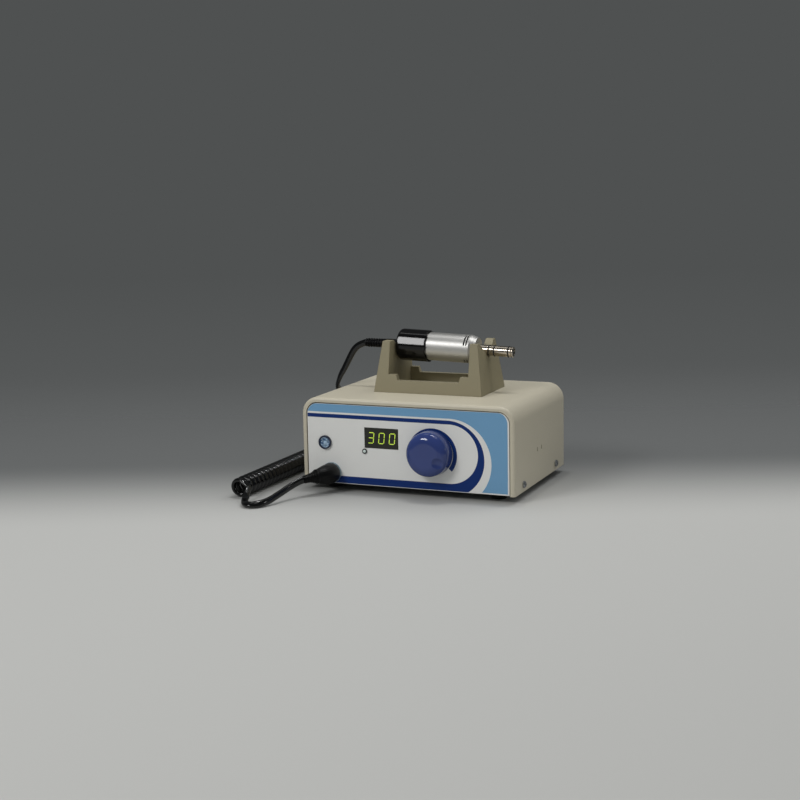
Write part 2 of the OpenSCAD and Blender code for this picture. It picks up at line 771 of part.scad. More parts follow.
module rear_panel() {
    color("#77797a") difference() {
        along_y(rear_inner, panel_t) panel_outline(seat_gap);
        on_front(inlet_x, inlet_z) block_y(rear_inner - over,
            [inlet_body[0] + 2 * screw_gap, panel_t + 2 * over, inlet_body[2] + 2 * screw_gap]);
        on_front(switch_x, switch_z) block_y(rear_inner - over,
            [switch_shell[0] + 2 * screw_gap, panel_t + 2 * over, switch_shell[2] + 2 * screw_gap]);
        for (s = [-1, 1]) on_front(inlet_x + s * inlet_hole_x, inlet_z)
            rod_y(rear_inner - over, panel_t + 2 * over, tapped_r);
        for (x = panel_screw_xs) on_front(x, panel_screw_z)
            rod_y(rear_inner - over, panel_bite + over, tapped_r);
    }
}

module panel_screws() {
    color("#b9bcbd") for (s = [0, 1], x = panel_screw_xs) mirror([0, s, 0])
        translate([x, sheet_t - chassis_end, foot_h + panel_screw_z]) rotate([-90, 0, 0])
            pan_screw(panel_screw_l);
}

// Cradle

module at_cradle_screws() {
    for (sx = [-1, 1], sy = [-1, 1])
        translate([cradle_x + sx * cradle_screw_x, cradle_y + sy * cradle_screw_y, 0]) children();
}

// Outline of a wall that leans in by lean on both sides
module leaning(foot, lean, h) {
    half = foot / 2;
    polygon([[-half, 0], [half, 0], [half - lean, h], [lean - half, h]]);
}

// Notch whose two faces just clear a round piece of radius r with its lowest axis at height h
module notch(r, h) {
    low = h - (r + seat_gap) / sin(notch_angle);
    rise = cradle_h + over - low;
    half = rise * tan(notch_angle);
    polygon([[0, low], [half, low + rise], [-half, low + rise]]);
}

module cradle() {
    step_x = wall_in - step_l;
    reach = cradle_w / 2 - cradle_lean / 2;
    nose_low = motor_h - reach * tan(motor_tilt);
    relief_low = motor_h - cap_x * tan(motor_tilt) - (reach + cap_x) * tan(max(relief_fall, 0));
    color("#8f8874") difference() {
        translate([cradle_x, cradle_y, body_top]) difference() {
            intersection() {
                along_y(-cradle_d / 2, cradle_d) leaning(cradle_w, cradle_lean, cradle_h);
                along_x(-cradle_w / 2, cradle_w) leaning(cradle_d, cradle_draft, cradle_h);
            }
            along_y(-cradle_d, 2 * cradle_d) polygon([
                [-wall_in, cradle_h + over], [-wall_in, step_h], [-step_x, step_h],
                [step_ramp - step_x, rail_h], [step_x - step_ramp, rail_h], [step_x, step_h],
                [wall_in, step_h], [wall_in, cradle_h + over]]);
            translate([-wall_in, -pocket_half, cradle_floor]) cube([2 * wall_in, 2 * pocket_half, cradle_h]);
            along_x(-cradle_w, cradle_w) notch(relief_r, relief_low);
            along_x(0, cradle_w) notch(nose_r, nose_low);
        }
        at_cradle_screws() translate([0, 0, body_top - over])
            cylinder(h = over + cradle_screw_l, r = tapped_r);
    }
}

module cradle_screws() {
    color("#b9bcbd") at_cradle_screws() translate([0, 0, body_top - wall_t])
        mirror([0, 0, 1]) pan_screw(cradle_screw_l + wall_t - blind_spare);
}

// Front panel fittings

module display_window() {
    color("#15161a") on_front(display_x, display_z) {
        block_y(overlay_y - window_proud, [display_w, panel_back - overlay_y + window_proud, display_h]);
        block_y(panel_back, [display_w + 2 * window_flange, window_flange_t, display_h + 2 * window_flange]);
    }
}

module display_module() {
    color("#2a2b2d") on_front(display_x, display_z) block_y(window_back, [display_w, module_l, display_h]);
}

module display_board() {
    low = display_board_low;
    high = display_z + display_h / 2 + window_flange;
    wide = display_w + 2 * display_board_margin;
    color("#2f6b3c") on_front(display_x, (low + high) / 2)
        block_y(display_board_y, [wide, board_t, high - low]);
}

module status_lamp() {
    color("#7fb0c9") on_front(lamp_x, lamp_z) {
        rod_y(overlay_y - lamp_flange_t, lamp_flange_t, lamp_flange_r);
        rod_y(overlay_y, display_board_y - overlay_y, lamp_r);
    }
}

module speed_pot() {
    color("#8b8f92") on_front(knob_x, knob_z) difference() {
        union() {
            rod_y(panel_back, pot_l, pot_r);
            rod_y(overlay_y - bushing_l, panel_back - overlay_y + bushing_l + over, bushing_r);
            // terminals on the lower side
            for (s = [-1, 0, 1]) translate([s * lug_pitch, panel_back + pot_l / 2, -pot_r])
                cube(lug, center = true);
        }
        rod_y(overlay_y - bushing_l - over, panel_back + pot_depth - overlay_y + bushing_l + 2 * over,
            pot_shaft_r + run_gap);
    }
}

module pot_nut() {
    color("#c2a25a") on_front(knob_x, knob_z) difference() {
        rod_y(overlay_y - pot_nut_t, pot_nut_t, pot_nut_r, $fn = 6);
        rod_y(overlay_y - pot_nut_t - over, pot_nut_t + 2 * over, bushing_r + press_gap);
    }
}

module pedal_socket() {
    color("#23262c") on_front(pedal_x, pedal_z) difference() {
        union() {
            rod_y(overlay_y - pedal_flange_t, pedal_flange_t, pedal_r);
            rod_y(overlay_y - over, pedal_l + over, pedal_barrel_r);
        }
        rod_y(overlay_y - pedal_flange_t - over, pedal_l + over, pedal_bore_r);
    }
}

module at_pedal_pins() {
    for (k = [0:pedal_pins - 1]) rotate([0, 90 + 360 * k / pedal_pins, 0])
        translate([pedal_pin_circle, 0, 0]) children();
}

module pedal_insert() {
    face = overlay_y - pedal_flange_t + pedal_set_back;
    back = overlay_y - pedal_flange_t + pedal_l;
    color("#6d86a8") on_front(pedal_x, pedal_z) difference() {
        rod_y(face, back - face, pedal_bore_r - press_gap);
        at_pedal_pins() rod_y(face - over, back - face + 2 * over, pedal_pin_r + press_gap);
    }
}

module pedal_contacts() {
    face = overlay_y - pedal_flange_t + pedal_set_back + pedal_pin_sink;
    back = overlay_y - pedal_flange_t + pedal_l;
    color("#c8a85a") on_front(pedal_x, pedal_z) at_pedal_pins() rod_y(face, back - face, pedal_pin_r);
}

module socket_nut(r) {
    difference() {
        rod_y(panel_back, nut_t, r + nut_rim);
        rod_y(panel_back - over, nut_t + 2 * over, r + press_gap);
    }
}

module socket_nuts() {
    color("#b0b3b5") {
        on_front(pedal_x, pedal_z) socket_nut(pedal_barrel_r);
        on_front(socket_x, socket_z) socket_nut(socket_barrel_r);
    }
}

module motor_socket() {
    color("#8d949a") on_front(socket_x, socket_z) difference() {
        union() {
            rod_y(socket_front, socket_flange_t, socket_r);
            rod_y(overlay_y - over, socket_l + over, socket_barrel_r);
        }
        rod_y(socket_front - over, plug_l + over + seat_gap, plug_r + 2 * screw_gap);
    }
}

module motor_plug() {
    color("#26282a") on_front(socket_x, socket_z) {
        rod_y(plug_front, plug_collar_t, plug_collar_r);
        rod_y(plug_front + plug_collar_t - over, plug_l + over, plug_r);
    }
}

module plug_boot() {
    n = len(boot_path) - 1;
    centres = [for (p = boot_path) boot_base + p];
    t = ways(centres, [0, -1, 0], boot_way);
    color("#1b1b1c") tube([for (i = [0:n])
        let (d = 2 * plug_collar_r * boot_taper[i])
        ring(centres[i], t[i], [0, 0, 1], d, d, boot_sides)]);
}

// Speed knob

module knob_outline() {
    shoulder = knob_h - knob_fillet;
    polygon([[0, 0], [knob_r, 0], [knob_top_r, shoulder], [0, shoulder]]);
    square([knob_top_r - knob_fillet, knob_h]);
    translate([knob_top_r - knob_fillet, shoulder]) circle(knob_fillet);
}

module speed_knob() {
    color("#3a3f74") on_front(knob_x, knob_z) translate([0, knob_base, 0]) difference() {
        rotate([90, 0, 0]) rotate_extrude() intersection() {
            knob_outline();
            square([knob_r, knob_h]);
        }
        rod_y(-knob_recess, knob_recess + over, knob_recess_r);
        rod_y(knob_roof - knob_h, knob_h, pot_shaft_r + press_gap);
        rotate([0, -dimple_angle, 0])
            translate([dimple_reach, -knob_h - dimple_r + dimple_depth, 0]) sphere(dimple_r);
    }
}

module pot_shaft() {
    start = knob_base - knob_h + knob_roof;
    color("#b7babc") on_front(knob_x, knob_z) rod_y(start, panel_back + pot_depth - start, pot_shaft_r);
}

// Rear panel fittings

module inlet_mouth() {
    w = inlet_cavity[0];
    h = inlet_cavity[1];
    b = inlet_cavity_bevel;
    translate([-w / 2, inlet_cavity_z - h / 2])
        polygon([[0, b], [b, 0], [w - b, 0], [w, b], [w, h], [0, h]]);
}

module mains_inlet() {
    outer = rear_face + inlet_flange[1];
    room = 2 * drawer_gap;
    color("#202123") on_front(inlet_x, inlet_z) difference() {
        union() {
            block_y(rear_face, inlet_flange);
            block_y(rear_face + over - inlet_body[1], inlet_body);
        }
        along_y(outer - inlet_cavity_l, inlet_cavity_l + over) inlet_mouth();
        translate([0, 0, drawer_z]) block_y(outer - drawer[1] - drawer_gap,
            [drawer[0] + room, drawer[1] + drawer_gap + over, drawer[2] + room]);
        for (s = [-1, 1]) translate([s * inlet_hole_x, 0, 0])
            rod_y(rear_face - over, inlet_flange[1] + 2 * over, hole_r);
        translate([0, 0, inlet_cavity_z]) at_blades()
            block_y(rear_face + over - inlet_body[1] - over, [blade[0], inlet_body[1], blade[2]]);
    }
}

module at_blades() {
    for (s = [-1, 1]) translate([s * blade_pitch, 0, -blade_drop]) children();
    translate([0, 0, earth_rise]) children();
}

module inlet_pins() {
    start = rear_face + over - inlet_body[1] - tab_l;
    l = inlet_body[1] - inlet_cavity_l + tab_l + blade[1];
    color("#b9bcbd") on_front(inlet_x, inlet_z + inlet_cavity_z) at_blades()
        block_y(start, [blade[0] - 2 * press_gap, l, blade[2] - 2 * press_gap]);
}

module inlet_screws() {
    color("#b9bcbd") for (s = [-1, 1]) on_front(inlet_x + s * inlet_hole_x, inlet_z)
        translate([0, rear_face + inlet_flange[1], 0]) rotate([-90, 0, 0])
            pan_screw(inlet_flange[1] + panel_t);
}

module fuse_drawer() {
    outer = rear_face + inlet_flange[1];
    color("#2b2c2e") on_front(inlet_x, inlet_z + drawer_z) difference() {
        union() {
            block_y(outer - drawer[1], drawer);
            block_y(outer, drawer_face);
        }
        // trough that holds the fuse, open at the top
        rod_y(outer - fuse_l - drawer_web, fuse_l, fuse_r + press_gap);
        translate([0, outer - fuse_l / 2 - drawer_web, drawer[2] / 2])
            cube([2 * (fuse_r + press_gap), fuse_l, drawer[2]], center = true);
        // finger notch under the face
        translate([0, outer + drawer_face[1], -drawer_face[2] / 2]) cube(drawer_notch, center = true);
    }
}

module fuse() {
    start = rear_face + inlet_flange[1] - fuse_l - drawer_web;
    color("#c9c7bd") on_front(inlet_x, inlet_z + drawer_z) {
        rod_y(start, fuse_cap_l, fuse_r);
        rod_y(start + fuse_l - fuse_cap_l, fuse_cap_l, fuse_r);
        rod_y(start, fuse_l, fuse_glass_r);
    }
}

module switch_body() {
    outer = rear_face + switch_bezel[1];
    color("#1d1e20") on_front(switch_x, switch_z) difference() {
        union() {
            block_y(rear_face, switch_bezel);
            block_y(rear_face + over - switch_shell[1], switch_shell);
        }
        block_y(outer - switch_well[1], [switch_well[0], switch_well[1] + over, switch_well[2]]);
        translate([0, pivot_y, 0]) rod_x(-switch_well[0] / 2 - trunnion_l - seat_gap,
            switch_well[0] + 2 * (trunnion_l + seat_gap), trunnion_r + run_gap);
    }
}

module power_rocker() {
    h = rocker[1];
    face = switch_bezel[1] + rear_face - pivot_y;
    color("#26282b") on_front(switch_x, switch_z) translate([0, pivot_y, 0])
        rotate([rocker_throw / 2, 0, 0]) {
            along_x(-rocker[0] / 2, rocker[0]) polygon([
                [-rocker_depth, -h / 2], [face + rocker_rise, -h / 2], [face - rocker_dip, 0],
                [face + rocker_rise, h / 2], [-rocker_depth, h / 2]]);
            rod_x(-switch_well[0] / 2 - trunnion_l, switch_well[0] + 2 * trunnion_l, trunnion_r);
        }
}

// Inside the cabinet

module at_standoffs() {
    for (sx = [-1, 1], sy = [-1, 1])
        translate([board_x + sx * (board_w / 2 - board_inset),
            board_y + sy * (board_d / 2 - board_inset), 0]) children();
}

module at_bracket_screws() {
    for (s = [-1, 1]) translate([core_x + s * (core[0] / 2 + bracket_t + bracket_foot / 2), core_y, 0])
        children();
}

module main_board() {
    color("#2c5f3a") difference() {
        translate([board_x, board_y, board_z + board_t / 2])
            cube([board_w, board_d, board_t], center = true);
        at_standoffs() translate([0, 0, board_z - over]) cylinder(h = board_t + 2 * over, r = hole_r);
    }
}

module board_standoffs() {
    stud_l = sheet_t + stud_stick;
    color("#b59a55") at_standoffs() difference() {
        union() {
            translate([0, 0, deck_z]) cylinder(h = standoff_h, r = standoff_r);
            translate([0, 0, deck_z - stud_l]) cylinder(h = stud_l + over, r = screw_r);
        }
        translate([0, 0, board_z - inner_screw_l]) cylinder(h = inner_screw_l + over, r = tapped_r);
    }
}

module inner_screws() {
    color("#b9bcbd") {
        at_standoffs() translate([0, 0, board_z + board_t]) pan_screw(inner_screw_l);
        at_bracket_screws() translate([0, 0, deck_z + bracket_t]) pan_screw(bracket_t + sheet_t + stud_stick);
    }
}

module capacitors() {
    color("#3d4652") for (s = [-0.5, 0.5])
        translate([board_x + capacitor_x, board_y + s * capacitor_pitch, board_z + board_t])
            cylinder(h = capacitor_h, r = capacitor_r);
}

module rectifier() {
    color("#1e1f21") translate([board_x + rectifier_x, board_y, board_z + board_t + rectifier_size[2] / 2])
        block_y(rectifier_y, rectifier_size);
}

module transformer_core() {
    half = core[1] / 2;
    color("#5a5550") translate([core_x, core_y, deck_z + core[2] / 2]) difference() {
        block_y(-half, core);
        for (s = [-1, 1]) translate([s * (core_leg + core_window[0]) / 2, 0, 0])
            block_y(-half - over, [core_window[0], core[1] + 2 * over, core_window[1]]);
    }
}

module transformer_coil() {
    wide = core_leg + 2 * core_window[0] - 2 * seat_gap;
    deep = core[1] + 2 * coil_overhang;
    high = core_window[1] - 2 * seat_gap;
    leg = core_leg + 2 * seat_gap;
    leg_d = core[1] + 2 * seat_gap;
    color("#b98a3c") translate([core_x, core_y, deck_z + core[2] / 2]) difference() {
        translate([0, 0, -high / 2]) linear_extrude(high) {
            square([wide - 2 * coil_r, deep], center = true);
            square([wide, deep - 2 * coil_r], center = true);
            for (sx = [-1, 1], sy = [-1, 1])
                translate([sx * (wide / 2 - coil_r), sy * (deep / 2 - coil_r)]) circle(coil_r);
        }
        cube([leg, leg_d, high + 2 * over], center = true);
    }
}

module transformer_bracket() {
    inner = core[0] / 2;
    color("#a5a8aa") translate([core_x, core_y, deck_z]) difference() {
        along_y(-bracket_w / 2, bracket_w) {
            translate([-inner - bracket_t, core[2]]) square([2 * (inner + bracket_t), bracket_t]);
            for (s = [0, 1]) mirror([s, 0]) {
                translate([inner, 0]) square([bracket_t, core[2] + bracket_t]);
                translate([inner, 0]) square([bracket_t + bracket_foot, bracket_t]);
            }
        }
        translate([-core_x, -core_y, 0]) at_bracket_screws() translate([0, 0, -over])
            cylinder(h = bracket_t + 2 * over, r = hole_r);
    }
}

module heat_sink() {
    fin_l = sink[1] - sink_base;
    pitch = (sink[0] - sink_fin_t) / (sink_fins - 1);
    color("#3a3c3e") translate([sink_x - sink[0] / 2, sink_y, deck_z]) {
        cube([sink[0], sink_base, sink[2]]);
        for (k = [0:sink_fins - 1]) translate([k * pitch, sink_base - over, 0])
            cube([sink_fin_t, fin_l + over, sink[2]]);
    }
}

module power_transistor() {
    color("#232426") translate([sink_x, sink_y - transistor[1], deck_z + transistor_lift + transistor[2] / 2])
        block_y(0, transistor);
}

// Handpiece

module motor_housing() {
    color("#c6c8ca") on_motor() difference() {
        union() {
            rod_x(cap_front, cone_back - cap_front, motor_r);
            rod_x(sleeve_x, cap_front - sleeve_x + over, sleeve_r);
        }
        rod_x(sleeve_x - over, cone_back - sleeve_x + 2 * over, bore_r);
        for (g = [0:vent_groups - 1], k = [0, 1])
            rotate([180 - vent_rise + 360 * g / vent_groups, 0, 0]) mirror([0, 0, 1])
                vent(vent_x - k * vent_pitch);
    }
}

// Short slot round the body, from the -Y side upwards
module vent(x) {
    translate([x, 0, 0]) rotate([0, 90, 0]) rotate(90) rotate_extrude(angle = vent_arc)
        translate([bore_r - over, -vent_w / 2]) square([motor_wall + 2 * over, vent_w]);
}

module rear_cap() {
    apothem = cap_r - flat_depth;
    color("#17181a") on_motor() difference() {
        turned_x() {
            translate([0, cap_x]) square([cap_r - cap_fillet, cap_l]);
            translate([0, cap_x + cap_fillet]) square([cap_r, cap_l - cap_fillet]);
            intersection() {
                translate([cap_r - cap_fillet, cap_x + cap_fillet]) circle(cap_fillet);
                translate([0, cap_x]) square([cap_r, cap_l]);
            }
        }
        rod_x(sleeve_x - seat_gap, cap_l + over, sleeve_r + press_gap);
        rod_x(cap_x + cap_wall, cap_l, bore_r);
        rod_x(cap_x - over, cap_wall + 2 * over, relief_stem_r + press_gap);
        for (k = [0:flats - 1]) rotate([flat_turn + 360 * k / flats, 0, 0]) {
            translate([cap_x - over, -cap_r, apothem]) cube([cap_l + 2 * over, 2 * cap_r, cap_r]);
            translate([cap_front + scallop_r - scallop_depth, 0, sleeve_r - over])
                cylinder(h = cap_r, r = scallop_r);
        }
    }
}

module nose_cone() {
    seat_x = cone_back - spigot_l;
    color("#c6c8ca") on_motor() difference() {
        union() {
            translate([cone_back, 0, 0]) rotate([0, 90, 0])
                cylinder(h = cone_l, r1 = motor_r, r2 = motor_r - cone_taper);
            rod_x(seat_x, spigot_seat, bore_r - press_gap);
            rod_x(seat_x, spigot_l + over, bore_r - spigot_relief);
        }
        rod_x(seat_x - over, bearing_l + over, bearing_r + press_gap);
        rod_x(seat_x, spigot_l + cone_l, shaft_hole_r);
        rod_x(cone_front - nose_root, nose_root + over, nose_r + press_gap);
    }
}

module coupling_nose() {
    tip = cone_front + nose_l;
    color("#d5d7d9") on_motor() difference() {
        union() {
            rod_x(cone_front - nose_root, nose_root + nose_l - nose_chamfer, nose_r);
            translate([tip - nose_chamfer, 0, 0]) rotate([0, 90, 0])
                cylinder(h = nose_chamfer, r1 = nose_r, r2 = nose_r - nose_chamfer);
        }
        rod_x(cone_front - nose_root - over, nose_root + nose_l + 2 * over, nose_bore_r);
        for (x = ring_xs) translate([cone_front + x, 0, 0]) turned_x()
            translate([nose_r - ring_groove, -ring_r - press_gap])
                square([ring_groove + over, 2 * (ring_r + press_gap)]);
        // snap groove behind the tip
        translate([tip - tip_lip, 0, 0]) turned_x() translate([nose_r - ring_groove, -tip_groove])
            square([ring_groove + over, tip_groove]);
    }
}

module coupling_rings() {
    centre_r = nose_r - ring_groove + ring_r + press_gap;
    color("#141414") on_motor() for (x = ring_xs) translate([cone_front + x, 0, 0]) turned_x()
        translate([centre_r, 0]) circle(ring_r);
}

module motor_magnets() {
    inner = armature_r + magnet_gap;
    color("#4a4b4e") on_motor() for (s = [0, 180]) rotate([s, 0, 0])
        translate([magnet_x, 0, 0]) rotate([0, 90, 0]) rotate(-magnet_arc / 2)
            rotate_extrude(angle = magnet_arc)
                translate([inner, 0]) square([bore_r - press_gap - inner, magnet_end - magnet_x]);
}

module brush_plate() {
    color("#6b4a2c") on_motor() difference() {
        union() {
            rod_x(plate_x, plate_t, bore_r - press_gap);
            rod_x(plate_x - hub_l, hub_l + over, hub_r);
            for (s = [0, 180]) rotate([s, 0, 0]) at_brush()
                translate([-brush_box / 2 - over, -brush_box / 2, commutator_r + rotor_gap])
                    cube([brush_box + over, brush_box, brush_reach - commutator_r - rotor_gap]);
        }
        rod_x(plate_x - hub_l - over, bearing_l + over, bearing_r + press_gap);
        rod_x(plate_x - hub_l, hub_l + plate_t + over, shaft_hole_r);
        for (s = [0, 180]) rotate([s, 0, 0]) at_brush()
            translate([-brush / 2 - press_gap, -brush / 2 - press_gap, 0])
                cube([brush + 2 * press_gap, brush + 2 * press_gap, brush_reach + over]);
    }
}

module at_brush() translate([plate_x + plate_t + brush_box / 2, 0, 0]) children();

module brushes() {
    start = commutator_r + brush_rub;
    color("#2d2d30") on_motor() for (s = [0, 180]) rotate([s, 0, 0]) at_brush()
        translate([-brush / 2, -brush / 2, start]) cube([brush, brush, brush_reach - start]);
}

module bearing(x) {
    difference() {
        rod_x(x, bearing_l, bearing_r);
        rod_x(x - over, bearing_l + 2 * over, bearing_bore_r);
    }
}

module bearings() {
    color("#9a9da0") on_motor() {
        bearing(plate_x - hub_l);
        bearing(cone_back - spigot_l);
    }
}

module strain_relief() {
    rib_pitch = (relief_l - relief_collar) / relief_ribs;
    taper = (relief_r - relief_end_r) / relief_ribs;
    color("#161617") on_motor() translate([cap_x, 0, 0]) {
        rod_x(-relief_neck, relief_neck + cap_wall + relief_stem, relief_stem_r);
        rotate([0, -relief_droop, 0]) {
            rod_x(-relief_collar, relief_collar - end_gap, relief_r);
            rod_x(-relief_l, relief_l - end_gap, relief_stem_r);
            for (k = [0:relief_ribs - 1])
                rod_x(k * rib_pitch - relief_l, relief_rib, relief_end_r + k * taper);
        }
    }
}

// Rotor

module rotor_shaft() {
    color("#babdbf") on_motor() rod_x(shaft_start, shaft_end - shaft_start, shaft_r);
}

module armature() {
    color("#7d6a52") on_motor() difference() {
        rod_x(armature_x, armature_end - armature_x, armature_r);
        rod_x(armature_x - over, armature_end - armature_x + 2 * over, shaft_r + press_gap);
        for (k = [0:armature_slots - 1]) rotate([360 * k / armature_slots, 0, 0])
            translate([armature_x - over, -armature_slot_w / 2, armature_r - armature_slot_d])
                cube([armature_end - armature_x + 2 * over, armature_slot_w, armature_slot_d + over]);
    }
}

module commutator() {
    color("#b5763c") on_motor() difference() {
        rod_x(commutator_x, commutator_l, commutator_r);
        rod_x(commutator_x - over, commutator_l + 2 * over, shaft_r + press_gap);
    }
}

module drive_dog() {
    start = shaft_end - dog_socket;
    color("#a7aaad") on_motor() difference() {
        rod_x(start, dog_l, dog_r);
        rod_x(start - over, dog_socket + over, shaft_r + press_gap);
        translate([start + dog_l - dog_slot_d, -dog_slot / 2, -dog_r - over])
            cube([dog_l, dog_slot, 2 * (dog_r + over)]);
    }
}

// Cord

module plug_cord() {
    c = curve(concat([boot_end], plug_route, [curl_in]), cord_steps);
    color("#121213") flat_cord(c, boot_way, curl_way(0), [0, 0, 1], [0, 1, 0]);
}

module curly_cord() {
    color("#121213") tube(curl_tube);
}

module motor_cord() {
    c = curve(concat([curl_out], motor_route, [motor_cord_end]), cord_steps);
    color("#121213") flat_cord(c, curl_way(1), -relief_way, [0, 1, 0], [0, 0, 1]);
}

base_chassis();
top_cover();
cover_screws();
front_panel();
panel_overlay();
rear_panel();
panel_screws();
rubber_feet();
foot_screws();
cradle();
cradle_screws();
display_window();
display_module();
display_board();
status_lamp();
speed_pot();
pot_nut();
pedal_socket();
pedal_insert();
pedal_contacts();
socket_nuts();
motor_socket();
main_board();
board_standoffs();
inner_screws();
capacitors();
rectifier();
transformer_core();
transformer_coil();
transformer_bracket();
heat_sink();
power_transistor();
mains_inlet();
inlet_pins();
inlet_screws();
switch_body();
motor_plug();
plug_boot();
plug_cord();
curly_cord();
motor_cord();
speed_knob();
pot_shaft();
power_rocker();
fuse_drawer();
fuse();
motor_housing();
rear_cap();
nose_cone();
coupling_nose();
coupling_rings();
motor_magnets();
brush_plate();
brushes();
bearings();
strain_relief();
rotor_shaft();
armature();
commutator();
drive_dog();
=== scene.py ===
import math

import bmesh
import bpy
from mathutils import Matrix, Vector
from mathutils.bvhtree import BVHTree


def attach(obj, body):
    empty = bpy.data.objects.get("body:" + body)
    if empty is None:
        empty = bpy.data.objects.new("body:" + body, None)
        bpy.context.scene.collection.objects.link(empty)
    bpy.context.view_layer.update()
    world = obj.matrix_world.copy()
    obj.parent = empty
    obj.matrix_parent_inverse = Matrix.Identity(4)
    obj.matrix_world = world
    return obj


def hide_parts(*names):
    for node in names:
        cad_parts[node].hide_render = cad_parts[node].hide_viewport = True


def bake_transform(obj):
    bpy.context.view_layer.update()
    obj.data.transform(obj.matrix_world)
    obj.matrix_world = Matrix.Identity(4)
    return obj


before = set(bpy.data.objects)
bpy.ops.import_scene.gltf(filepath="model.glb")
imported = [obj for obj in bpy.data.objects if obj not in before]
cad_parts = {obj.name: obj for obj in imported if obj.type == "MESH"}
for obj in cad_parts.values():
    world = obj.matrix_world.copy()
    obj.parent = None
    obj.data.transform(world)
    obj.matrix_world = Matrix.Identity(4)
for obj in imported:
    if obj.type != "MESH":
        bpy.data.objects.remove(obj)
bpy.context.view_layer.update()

# Camera
# It stands to the right of the unit and a little above it, as the photographer did, with a long lens.
# Azimuth is the turn from straight in front, and the roll is the slight lean of the picture.

azimuth = math.radians(23.145)
elevation = math.radians(9.533)
roll = math.radians(-1.068)
back = Vector((math.sin(azimuth) * math.cos(elevation), -math.cos(azimuth) * math.cos(elevation),
               math.sin(elevation)))
level = Vector((math.cos(azimuth), math.sin(azimuth), 0))
upright = back.cross(level)
right = math.cos(roll) * level + math.sin(roll) * upright
up = math.cos(roll) * upright - math.sin(roll) * level
lens = bpy.data.cameras.new("photo_view")
lens.lens = 66.93
lens.sensor_width = 36
lens.clip_start = 0.05
camera = bpy.data.objects.new("photo_view", lens)
stand = Matrix.Translation((0.4579, -1.1475, 0.2764))
camera.matrix_world = stand @ Matrix((right, up, back)).transposed().to_4x4()
bpy.context.collection.objects.link(camera)
bpy.context.scene.camera = camera


# Cord
# A flat cord of stranded cores side by side in one oval black PVC jacket. It runs from the plug's boot
# to a curly stretch that was wound hot on a rod, then up the cabinet's side to the handpiece.

def smooth_line(points, steps):
    """Points on a smooth curve through the listed points."""
    line = []
    last = len(points) - 1
    for i in range(last):
        a, b, c, d = (points[min(max(i + k, 0), last)] for k in (-1, 0, 1, 2))
        for k in range(steps):
            u = k / steps
            line.append(0.5 * (2 * b + (c - a) * u + (2 * a - 5 * b + 4 * c - d) * u * u
                               + (3 * b - a - 3 * c + d) * u ** 3))
    return line + [points[last]]


def vectors(*points):
    """The listed points as vectors, in millimetres."""
    return [Vector(p) for p in points]


def swept(centres, wides, outlines):
    """Points and faces of a closed tube: each ring lies square to the centre line, with its first axis
    on the wide side, and takes its own outline."""
    points, faces = [], []
    sides = len(outlines[0])
    for i, centre in enumerate(centres):
        way = (centres[min(i + 1, len(centres) - 1)] - centres[max(i - 1, 0)]).normalized()
        wide = (wides[i] - wides[i].dot(way) * way).normalized()
        thick = way.cross(wide)
        points += [centre + a * wide + b * thick for a, b in outlines[i]]
    for i in range(len(centres) - 1):
        for k in range(sides):
            a, b = i * sides + k, i * sides + (k + 1) % sides
            faces.append((a, b, b + sides, a + sides))
    faces.append(tuple(range(sides))[::-1])
    faces.append(tuple(range((len(centres) - 1) * sides, len(centres) * sides)))
    return points, faces


def piece(name, points, faces, material, crease=40.0):
    """A mesh piece from points in millimetres, facing outwards, smooth but for its sharp edges."""
    mesh = bpy.data.meshes.new(name)
    mesh.from_pydata([tuple(0.001 * c for c in p) for p in points], [], faces)
    shape = bmesh.new()
    shape.from_mesh(mesh)
    bmesh.ops.remove_doubles(shape, verts=shape.verts, dist=1e-7)
    bmesh.ops.recalc_face_normals(shape, faces=shape.faces)
    for face in shape.faces:
        face.smooth = True
    for edge in shape.edges:
        edge.smooth = edge.is_manifold and edge.calc_face_angle(0.0) < math.radians(crease)
    shape.to_mesh(mesh)
    shape.free()
    mesh.materials.append(material)
    obj = bpy.data.objects.new(name, mesh)
    bpy.context.collection.objects.link(obj)
    return obj


def linear(colour, share=1.0):
    """A colour written as sRGB hex, as the linear values that the shader takes, times a share."""
    values = [int(colour[i:i + 2], 16) / 255 for i in (1, 3, 5)]
    values = [c / 12.92 if c <= 0.04045 else ((c + 0.055) / 1.055) ** 2.4 for c in values]
    return [min(1.0, c * share) for c in values] + [1.0]


def add(tree, kind, inputs=None, **settings):
    """Adds a node to a tree with its settings, and gives its inputs a value or a link."""
    node = tree.nodes.new(kind)
    for key, value in settings.items():
        setattr(node, key, value)
    for key, value in (inputs or {}).items():
        if isinstance(value, bpy.types.NodeSocket):
            tree.links.new(value, node.inputs[key])
        else:
            node.inputs[key].default_value = value
    return node


